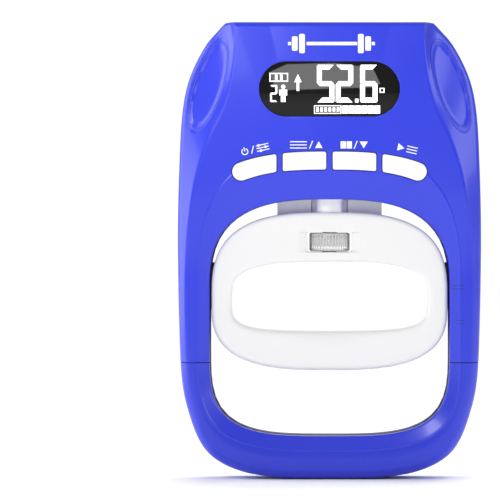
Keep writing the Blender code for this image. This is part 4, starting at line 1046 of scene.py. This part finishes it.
# ---- handle and adjuster ---------------------------------------------------------------------
class DYNO_OT_handle(bpy.types.Operator):
    """Builds the white squeeze handle: a rounded bar section carried round the finger hole."""

    bl_idname = "dyno.handle"
    bl_label = "Squeeze handle"

    def execute(self, context):
        half_width, top, bottom, upper_mid, lower_mid = HANDLE
        outer = superellipse_loop(half_width, top, bottom, upper_mid, lower_mid, (2.9, 2.9))
        half_width, top, bottom, upper_mid, lower_mid = HOLE
        inner = superellipse_loop(half_width, top, bottom, upper_mid, lower_mid, (3.3, 4.0))
        turn = np.linspace(0, 2 * math.pi, 320, endpoint=False)
        direction = np.column_stack([np.cos(turn), 0.75 * np.sin(turn)])
        direction /= np.hypot(*direction.T)[:, None]
        origin = np.tile((0.0, HOLE[3]), (len(turn), 1))
        r_in, r_out = reach(inner, origin, direction), reach(outer, origin, direction)
        depth = np.full_like(r_in, HANDLE_DEPTH)
        corners = stacked([(r_in, -depth), (r_out, -depth), (r_out, depth), (r_in, depth)])
        low = np.clip(-direction[:, 1], 0, 1)[:, None]
        section = rounded_section(corners, [2.2 * MM, 2.6 * MM, 2.6 * MM, 2.2 * MM], [6, 6, 6, 6], 10)
        fuller = rounded_section(corners, [7.5 * MM, 3.0 * MM, 3.0 * MM, 7.5 * MM], [6, 6, 6, 6], 10)
        section = section * (1 - low[:, :, None]) + fuller * low[:, :, None]
        handle = grid_piece("squeeze_handle", on_rays(origin, direction, section), wrap_rows=True)
        width, low_z, high_z = WINDOW
        cutters = [prism("wheel_window", rounded_rectangle(-width / 2, low_z, width / 2, high_z, 0.5 * MM),
                         -20 * MM, 20 * MM)]
        for side in (-1, 1):
            near, far = sorted((side * 46.9 * MM, side * 60 * MM))
            groove = prism(f"rail_groove_{side}", rounded_rectangle(near, 30 * MM, far, 120 * MM, 0.3 * MM),
                           -3.2 * MM, 3.2 * MM)
            centre = (0, side * (HANDLE_DEPTH + 27.2 * MM), low_z)
            scoop = plug(f"thumb_scoop_{side}", 30 * MM, high_z - low_z, centre, 200)
            cutters += [groove, scoop]
        pocket = rounded_rectangle(-TONGUE_HALF - GAP, -2.8 * MM, TONGUE_HALF + GAP, 2.8 * MM, 0.3 * MM)
        spine = rounded_rectangle(-10.3 * MM, -1 * MM, 10.3 * MM, 9.5 * MM, 0.3 * MM)
        for number, outline in enumerate((pocket, spine)):
            hollow = prism(f"guide_pocket_{number}", outline, 0, 20 * MM)
            hollow.data.transform(spine_matrix(STEM[2] - GAP))
            cutters.append(hollow)
        cutters.append(plug("stem_pocket", 8 * MM, 20 * MM, (0, 0, STEM[2] - GAP), 48))
        cutters.append(plug("screw_bore", 3.4 * MM, 12 * MM, (0, 0, 92 * MM), 32))
        cut(handle, cutters)
        place(handle, "grip_handle", finish_of("handle_white"), "handle_white", "handle")
        return {"FINISHED"}


class DYNO_OT_adjuster(bpy.types.Operator):
    """Builds the knurled thumb wheel, the threaded screw and the bright sleeve, and finishes the sleeve's
    guide.
    """

    bl_idname = "dyno.adjuster"
    bl_label = "Span adjuster"

    def execute(self, context):
        settings = context.scene.dyno_handle
        radius, low, high = WHEEL
        height = high - low
        edge = 0.5 * MM

        def knurl(angle, profile):
            """Straight teeth: the radius loses depth * (0.5 - 0.5 cos(n a))^2 over the wheel's face."""
            wave = (0.5 - 0.5 * np.cos(angle * settings.teeth)) ** 2
            return settings.tooth_depth * wave * (profile[:, :1] > radius * 0.8)

        rim = [(SCREW_RADIUS + GAP, 0.0), (radius * 0.9, 0.0), (radius - edge, 0.05 * MM), (radius, edge),
               *[(radius, edge + (height - 2 * edge) * t) for t in (0.25, 0.5, 0.75)],
               (radius, height - edge), (radius - edge, height - 0.05 * MM), (radius * 0.9, height),
               (SCREW_RADIUS + GAP, height)]
        wheel = turned_piece(
            "thumb_wheel_knurled", rim, (0, 0, low), steps=settings.teeth * 10, ripple=knurl, bored=True
        )
        place(wheel, "grip_adjuster", finish_of("knurled_steel"), "steel", "thumb_wheel")

        foot, top, pitch = 92.4 * MM, 164.0 * MM, 1.25 * MM
        height = top - foot
        rows = np.linspace(0, height, int(height / pitch * 10))
        lead = 0.5 * MM
        body = [(0.0, 0.0), *[(SCREW_RADIUS, h) for h in rows], (0.0, height)]

        def thread(angle, profile):
            """A helix: the radius loses 0.38 mm times the saw of (height / pitch - angle / 2 pi), faded
            out at both ends and left plain below the wheel's top."""
            h = profile[:, 1:]
            phase = (h / pitch - angle / (2 * math.pi)) % 1.0
            cut_in = np.clip((h - 11 * MM) / MM, 0, 1) * (profile[:, :1] > 0)
            point = np.clip(1 - (height - h) / lead, 0, 1) * (profile[:, :1] > 0)
            return 0.38 * MM * (1 - np.abs(2 * phase - 1)) * cut_in + 0.4 * MM * point

        screw = turned_piece("span_screw", body, (0, 0, foot), steps=40, ripple=thread, sharp=60)
        place(screw, "grip_adjuster", finish_of("steel"), "steel", "adjusting_screw")

        outer, inner, low, high = STEM
        edge = 0.4 * MM
        height = high - low
        wall = [
            (inner, 0), (outer - edge, 0), (outer, edge), (outer, height - edge), (outer - edge, height),
            (inner, height),
        ]
        sleeve = turned_piece("stem_tube", wall, (0, 0, low), steps=96, bored=True)
        place(sleeve, "grip_handle", finish_of("bright_metal"), "bright_metal", "stem_sleeve")
        refinish(finish_of("grey_plastic"), "guide_tongue")
        return {"FINISHED"}


# ---- display and buttons ---------------------------------------------------------------------
SEGMENTS = {
    "0": "abcdef", "1": "bc", "2": "abged", "3": "abgcd", "4": "fgbc", "5": "afgcd", "6": "afgedc",
    "7": "abc", "8": "abcdefg", "9": "abcdfg",
}


def bar_outline(start, end, half):
    """A straight bar's outline between two points."""
    start, end = np.asarray(start, float), np.asarray(end, float)
    along = (end - start) / np.hypot(*(end - start))
    side = np.array([-along[1], along[0]]) * half
    return np.array([start + side, end + side, end - side, start - side])


def digit_outlines(character, x, z, width, height, weight, gap=0.22):
    """The lit bars of a seven-segment digit in the box at (x, z): mitred trapeziums whose long side is
    the box's edge, and a six-sided bar across the middle."""
    w, g, h = weight, gap, weight / 2
    right, top, middle = x + width, z + height, z + height / 2
    flat = np.array([(x + g, top), (right - g, top), (right - g - w, top - w), (x + g + w, top - w)])
    post = np.array([(x, top - g), (x + w, top - g - w), (x + w, middle + g + h), (x, middle + g)])
    bar = np.array([
        (x + g, middle), (x + g + h, middle + h), (right - g - h, middle + h), (right - g, middle),
        (right - g - h, middle - h), (x + g + h, middle - h),
    ])

    def across(shape):
        return (2 * (x + width / 2), 0) + shape * (-1, 1)

    def over(shape):
        return (0, 2 * middle) + shape * (1, -1)

    shapes = {
        "a": flat, "d": over(flat), "f": post, "b": across(post), "e": over(post),
        "c": across(over(post)), "g": bar,
    }
    return [shapes[key] for key in SEGMENTS[character]]


def arc_band(x, z, outer, inner, start, end, steps=30):
    """An arc band between two radii, as one outline."""
    turn = np.radians(np.linspace(start, end, steps))
    circle = np.column_stack([np.cos(turn), np.sin(turn)])
    return np.vstack([(x, z) + circle * outer, ((x, z) + circle * inner)[::-1]])


def plates(name, outlines, depth, thickness):
    """Thin flat prints: each outline becomes a closed plate whose front stands at depth(x, z)."""
    vertices, faces, base = [], [], 0
    for outline in outlines:
        outline = np.asarray(outline, float)
        outline = outline if signed_area(outline) > 0 else outline[::-1]
        count = len(outline)
        y = depth(outline[:, 0], outline[:, 1])
        front = np.column_stack([outline[:, 0], y, outline[:, 1]])
        vertices += [front, front + (0, thickness, 0)]
        ring = np.arange(count)
        after = np.roll(ring, -1)
        faces.append((base + ring).tolist())
        faces.append((base + count + ring[::-1]).tolist())
        faces += (base + np.column_stack([ring, ring + count, after + count, after])).tolist()
        base += 2 * count
    mesh = bpy.data.meshes.new(name)
    mesh.from_pydata(np.vstack(vertices).tolist(), [], faces)
    mesh.update()
    obj = bpy.data.objects.new(name, mesh)
    bpy.context.scene.collection.objects.link(obj)
    return obj


def box_outline(x0, z0, x1, z1):
    """A rectangle between two corners."""
    return np.array([(x0, z0), (x1, z0), (x1, z1), (x0, z1)])


class DYNO_OT_display(bpy.types.Operator):
    """Builds the tinted window and the lit reading, and finishes the panel behind it."""

    bl_idname = "dyno.display"
    bl_label = "Display"

    def execute(self, context):
        settings = context.scene.dyno_display
        width, height, centre = LENS
        core, normal = stadium_frame(width, height, centre, 128)
        half = height / 2
        front = -14.6 * MM
        edge = 0.15 * MM
        profile = [(0.0, front), (half - edge, front), (half - edge * 0.3, front + edge * 0.3),
                   (half, front + edge), (half, -12.9 * MM), (0.0, -12.9 * MM)]
        rings = core[None] + normal[None] * np.array(profile)[:, None, :1]
        y = np.broadcast_to(np.array(profile)[:, 1:], rings.shape[:2])
        grid = np.stack([rings[:, :, 0], y, rings[:, :, 1]], axis=2)
        window = grid_piece("display_window", grid, caps=False)
        place(window, "housing", finish_of("lens_dark"), "lens_dark", "display_lens")

        def level(x, z):
            """The segments stand just in front of the window's flat face."""
            return np.full_like(x, front - 0.04 * MM)

        base, tall, wide, weight = 156.6, 15.6, 7.2, 2.0
        lit = []
        for character, x in zip(settings.reading, (-5.2, 2.6, 12.7)):
            lit += digit_outlines(character, x, base, wide, tall, weight)
        lit.append(box_outline(10.6, base, 12.0, base + 1.5))
        lit += digit_outlines("2", -24.6, 156.8, 2.9, 7.0, 0.7, 0.1)
        lit += person_icon(-19.2, 156.8, 7.0)
        lit += [
            np.array([(-14.6, 165.0), (-11.6, 165.0), (-13.1, 168.3)]),
            box_outline(-13.6, 161.4, -12.6, 165.0),
            *frame_bars(-24.9, 165.2, -17.2, 168.8, 0.4),
            box_outline(-22.6, 165.9, -21.6, 168.1), box_outline(-20.5, 165.9, -19.5, 168.1),
        ]
        lit += frame_bars(-6.4, 151.9, 4.9, 155.4, 0.35)
        lit += [box_outline(-5.5 + 1.7 * k, 152.8, -4.4 + 1.7 * k, 154.5) for k in range(6)]
        lit += [box_outline(5.3 + 2.65 * k, 152.0, 7.72 + 2.65 * k, 155.3) for k in range(6)]
        lit += frame_bars(20.8, 160.6, 22.8, 162.6, 0.4)
        reading = plates("lit_segments", [np.asarray(o) * MM for o in lit], level, 0.03 * MM)
        place(reading, "housing", finish_of("segment_white"), "lens_dark")
        refinish(finish_of("lcd"), "lcd_panel")
        refinish(finish_of("backlight"), "backlight")
        refinish(finish_of("board"), "main_board")
        return {"FINISHED"}


def frame_bars(x0, z0, x1, z1, weight):
    """The four bars of an open rectangle."""
    low, high = z0 + weight, z1 - weight
    return [
        box_outline(x0, z0, x1, low), box_outline(x0, high, x1, z1),
        box_outline(x0, low, x0 + weight, high), box_outline(x1 - weight, low, x1, high),
    ]


def person_icon(x, z, height):
    """A plain standing figure: a disc, a body and two legs."""
    k = height / 7.0
    boxes = [(-0.95, 2.9, 0.95, 5.2)]
    for side in (-1, 1):
        boxes += [(side * 1.15, 2.7, side * 1.6, 5.1), (side * 0.15, 0.0, side * 0.95, 2.7)]
    return [
        disc_outline(x, z + 6.3 * k, 0.85 * k, 20),
        *[box_outline(x + x0 * k, z + z0 * k, x + x1 * k, z + z1 * k) for x0, z0, x1, z1 in boxes],
    ]


def face_plane(outline, loops):
    """The plane y = a + b x + c z that lies nearest to the front face under an outline."""
    rows = np.column_stack([np.ones(len(outline)), outline])
    a, b, c = np.linalg.lstsq(rows, face_depth(outline[:, 0], outline[:, 1], loops), rcond=None)[0]
    return lambda x, z: a + b * x + c * z


class DYNO_OT_buttons(bpy.types.Operator):
    """Builds the four button caps and prints a plain symbol above each."""

    bl_idname = "dyno.buttons"
    bl_label = "Buttons"

    def execute(self, context):
        loops = body_loops()
        turn = np.linspace(0, math.pi / 2, 6)
        r = 0.5 * MM
        shoulder = [(-r * (1 - math.sin(a)), -0.5 * MM + r * (1 - math.cos(a))) for a in turn]
        profile = [*shoulder, (0.0, 2.2 * MM)]
        for name, span in BUTTON_SPANS.items():
            outline = corner_rounded(button_outline(*span), 1.0 * MM)
            seat = face_plane(outline, loops)
            cap = ring_piece(f"key_cap_{name}", outline, outline_normals(outline), profile, seat)
            place(cap, f"{name}_key", finish_of("button_white"), "button_white", f"button_{name}")

        def printed(x, z):
            """The prints stand just in front of the head's face."""
            return face_depth(x, z, loops) - 0.03 * MM

        symbols = [np.asarray(o, float) * MM for o in key_symbols()]
        prints = plates("key_symbols", symbols, printed, 0.025 * MM)
        place(prints, "housing", finish_of("print_white"), "button_white")
        refinish(finish_of("rubber_mat"), "button_mat")
        refinish(finish_of("black_plastic"), "switch_power", "switch_up", "switch_down", "switch_start",
                 "microcontroller", "battery_tray")
        return {"FINISHED"}


def turned_outline(outline, centre, degrees):
    """Turns an outline about a point, degrees anticlockwise."""
    a = math.radians(degrees)
    spin = np.array([[math.cos(a), math.sin(a)], [-math.sin(a), math.cos(a)]])
    return (np.asarray(outline, float) - centre) @ spin + centre


def key_symbols():
    """Plain symbols: a dumbbell at the top; then power and sliders, bars and an up arrow, a book and a
    down arrow, and play and bars."""
    z = 139.0
    power = [
        arc_band(-35.2, 137.2, 1.45, 1.05, 120, 420), box_outline(-35.4, 137.3, -35.0, 139.0),
        bar_outline((-32.6, 135.8), (-31.2, 138.8), 0.2),
        *[box_outline(-30.2, 135.9 + k, -25.0, 136.3 + k) for k in (0, 1.15, 2.3)],
        *[disc_outline(x, z, 0.55, 16) for x, z in ((-28.6, 136.1), (-26.4, 137.25), (-29.2, 138.4))],
    ]
    up = [
        *[box_outline(-16.4, z - 1.5 + k, -9.4, z - 1.1 + k) for k in (0, 1.3, 2.6)],
        bar_outline((-8.3, z - 1.6), (-7.0, z + 1.7), 0.2),
        np.array([(-6.0, z - 1.3), (-2.9, z - 1.3), (-4.45, z + 1.5)]),
    ]
    down = [
        box_outline(4.6, z - 1.5, 6.8, z + 1.5), box_outline(7.1, z - 1.5, 9.3, z + 1.5),
        bar_outline((10.2, z - 1.6), (11.5, z + 1.7), 0.2),
        np.array([(12.5, z + 1.4), (15.9, z + 1.4), (14.2, z - 1.4)]),
    ]
    start = [
        np.array([(28.2, 135.8), (28.2, 138.9), (31.0, 137.35)]),
        *[box_outline(32.0, 136.0 + k, 36.4, 136.4 + k) for k in (0, 1.2, 2.4)],
    ]
    weight = [box_outline(-9.5, 180.3, 11.5, 181.7)]
    for x, half in ((-12.6, 4.0), (-15.6, 3.0), (11.8, 4.0), (14.8, 3.0)):
        weight.append(corner_rounded(box_outline(x, 181 - half, x + 2.4, 181 + half), 0.7))
    weight += [box_outline(-17.2, 180.3, -15.9, 181.7), box_outline(17.5, 180.3, 18.8, 181.7)]
    power = [turned_outline(o, (-30.8, 137.2), 13) for o in power]
    start = [turned_outline(o, (32.0, 137.2), -13) for o in start]
    return [*weight, *power, *up, *down, *start]


# ---- inner works -----------------------------------------------------------------------------
class DYNO_OT_works(bpy.types.Operator):
    """Finishes the frame, load cell, batteries, leads and screws."""

    bl_idname = "dyno.works"
    bl_label = "Frame and inner works"

    def execute(self, context):
        # The frame's black is its own colour on the rails; round the opening the rim also stands for the
        # shade on the covers' inner wall, so it is painted shade there.
        refinish(finish_of("frame_black"), "loop_frame")
        refinish(finish_of("aluminium"), "load_cell")
        refinish(finish_of("gauge_foil"), "strain_gauge_left", "strain_gauge_right")
        refinish(finish_of("brass"), "screw_nut")
        refinish(finish_of("steel"), "cell_bolt_left", "cell_bolt_right",
                 *[f"cover_screw_{number}" for number in range(1, 9)])
        refinish(finish_of("battery_wrap"), "battery_1", "battery_2")
        refinish(finish_of("bright_metal"), "battery_contact_1", "battery_contact_2",
                 "battery_spring_1", "battery_spring_2")
        refinish(finish_of("lead_red"), "supply_lead_positive")
        refinish(finish_of("lead_black"), "supply_lead_negative", "gauge_lead")
        return {"FINISHED"}


# ---- studio ----------------------------------------------------------------------------------
def lamp_at(light, location, target):
    """Stands a lamp at a place, facing a target."""
    obj = bpy.data.objects.new(light.name, light)
    obj.location = location
    obj.rotation_euler = (Vector(target) - Vector(location)).to_track_quat("-Z", "Y").to_euler()
    bpy.context.scene.collection.objects.link(obj)
    return obj


def soft_box(name, location, target, size, power):
    """A rectangular area light."""
    light = bpy.data.lights.new(name, "AREA")
    light.shape = "RECTANGLE"
    light.size, light.size_y = size
    light.energy = power
    return lamp_at(light, location, target)


def broad_sun(name, location, target, spread, strength):
    """A sun so wide that its shadows are soft."""
    light = bpy.data.lights.new(name, "SUN")
    light.angle = spread
    light.energy = strength
    return lamp_at(light, location, target)


def shine_only_on(lamp, *pieces):
    """Keeps a lamp's light to the pieces."""
    group = bpy.data.collections.new(lamp.name + "_only")
    for piece in pieces:
        group.objects.link(piece)
    lamp.light_linking.receiver_collection = group


def studio_surround():
    """A pale room with a white backdrop: strength 0.45 + 0.62 s(y) + 0.1 s(z), s being a smooth step
    of the direction's part."""
    world = bpy.data.worlds.new("studio")
    world.use_nodes = True
    tree = world.node_tree
    back = tree.nodes["Background"]
    back.inputs["Color"].default_value = (1, 1, 1, 1)
    direction = node(tree, "ShaderNodeTexCoord")
    split = node(tree, "ShaderNodeSeparateXYZ", [(0, direction.outputs["Generated"])])
    steps = []
    for axis, low, high, gain in (("Y", 0.95, 0.99, 0.62), ("Z", 0.25, 0.9, 0.1)):
        step = node(tree, "ShaderNodeMapRange", [(0, split.outputs[axis])], interpolation_type="SMOOTHSTEP",
                    in_1=low, in_2=high, in_3=0.0, in_4=gain)
        steps.append(step.outputs[0])
    both = combined(tree, "ADD", *steps)
    total = node(tree, "ShaderNodeMath", [(0, both.outputs[0])], operation="ADD", in_1=0.45)
    tree.links.new(total.outputs[0], back.inputs["Strength"])
    return world


class DYNO_OT_studio(bpy.types.Operator):
    """Sets the pale floor, the soft light and the camera."""

    bl_idname = "dyno.studio"
    bl_label = "Studio"

    def execute(self, context):
        scene = context.scene
        settings = scene.dyno_studio
        floor = grid_piece("studio_floor", np.array([
            [(-3.0, 3.0, z), (3.0, 3.0, z), (3.0, -3.0, z), (-3.0, -3.0, z)] for z in (-0.0402, -0.0002)
        ]))
        floor.data.materials.append(plastic("studio_white", (0.93, 0.93, 0.93), 0.9, 0.0, 0.0, 0.0))
        scene.world = studio_surround()
        middle = (0, 0, 0.1)
        soft_box("key", (-1.0, 0.1, 0.3), middle, (0.8, 1.0), settings.key)
        soft_box("front", (-0.5, -0.8, 0.7), middle, (0.3, 0.3), settings.front)
        soft_box("side", (1.0, -0.3, 0.5), middle, (0.5, 0.6), settings.side)
        wash = broad_sun("floor_wash", (0.3, 0.7, 1.4), (0, 0, 0), math.radians(52), settings.wash)
        shine_only_on(wash, floor)
        glow = soft_box("near_left", (-0.0725, -0.19, 0.22), (-0.0725, 0, 0.22), (0.1, 0.1), settings.near)
        glow.visible_camera = False
        shine_only_on(glow, bpy.data.objects["head_shell_front"])
        card = soft_box("window_card", (-0.045, -0.515, 0.2646), middle, (0.2, 0.2), settings.card)
        card.rotation_euler = (math.pi / 2, math.radians(-25.3), 0)
        card.visible_camera = False
        shine_only_on(card, bpy.data.objects["display_window"])
        camera = bpy.data.cameras.new("view")
        camera.angle = 2 * math.atan(settings.view_width / 2 / settings.distance)
        camera.shift_x = VIEW_SHIFT
        camera.clip_end = 20
        seen = bpy.data.objects.new("view", camera)
        rise = math.tan(settings.elevation) * settings.distance
        seen.location = (0, -settings.distance - FRONT_HEAD, VIEW_CENTRE_Z + rise)
        seen.rotation_euler = (math.pi / 2 - settings.elevation, 0, 0)
        scene.collection.objects.link(seen)
        scene.camera = seen
        scene.view_settings.view_transform = "Standard"
        return {"FINISHED"}


class DYNO_PT_build(bpy.types.Panel):
    """Lists the steps that build the looks."""

    bl_label = "Hand dynamometer"
    bl_idname = "DYNO_PT_build"
    bl_space_type = "VIEW_3D"
    bl_region_type = "UI"
    bl_category = "Dynamometer"

    def draw(self, context):
        layout = self.layout
        scene = context.scene
        for group in (scene.dyno_shell, scene.dyno_handle, scene.dyno_display, scene.dyno_studio):
            box = layout.box()
            for name in group.__annotations__:
                box.prop(group, name)
        for operator in OPERATORS:
            layout.operator(operator.bl_idname)


OPERATORS = (
    DYNO_OT_front_covers, DYNO_OT_rear_covers, DYNO_OT_handle, DYNO_OT_adjuster, DYNO_OT_display,
    DYNO_OT_buttons, DYNO_OT_works, DYNO_OT_studio,
)
GROUPS = {
    "dyno_shell": ShellSettings, "dyno_handle": HandleSettings,
    "dyno_display": DisplaySettings, "dyno_studio": StudioSettings,
}


def register():
    for group in GROUPS.values():
        bpy.utils.register_class(group)
    for name, group in GROUPS.items():
        setattr(bpy.types.Scene, name, PointerProperty(type=group))
    for operator in OPERATORS:
        bpy.utils.register_class(operator)
    bpy.utils.register_class(DYNO_PT_build)


def unregister():
    bpy.utils.unregister_class(DYNO_PT_build)
    for operator in reversed(OPERATORS):
        bpy.utils.unregister_class(operator)
    for name, group in GROUPS.items():
        delattr(bpy.types.Scene, name)
        bpy.utils.unregister_class(group)


def main():
    """Builds the whole scene."""
    register()
    make_finishes()
    for operator in OPERATORS:
        group, name = operator.bl_idname.split(".")
        getattr(getattr(bpy.ops, group), name)()


if __name__ == "__main__":
    main()
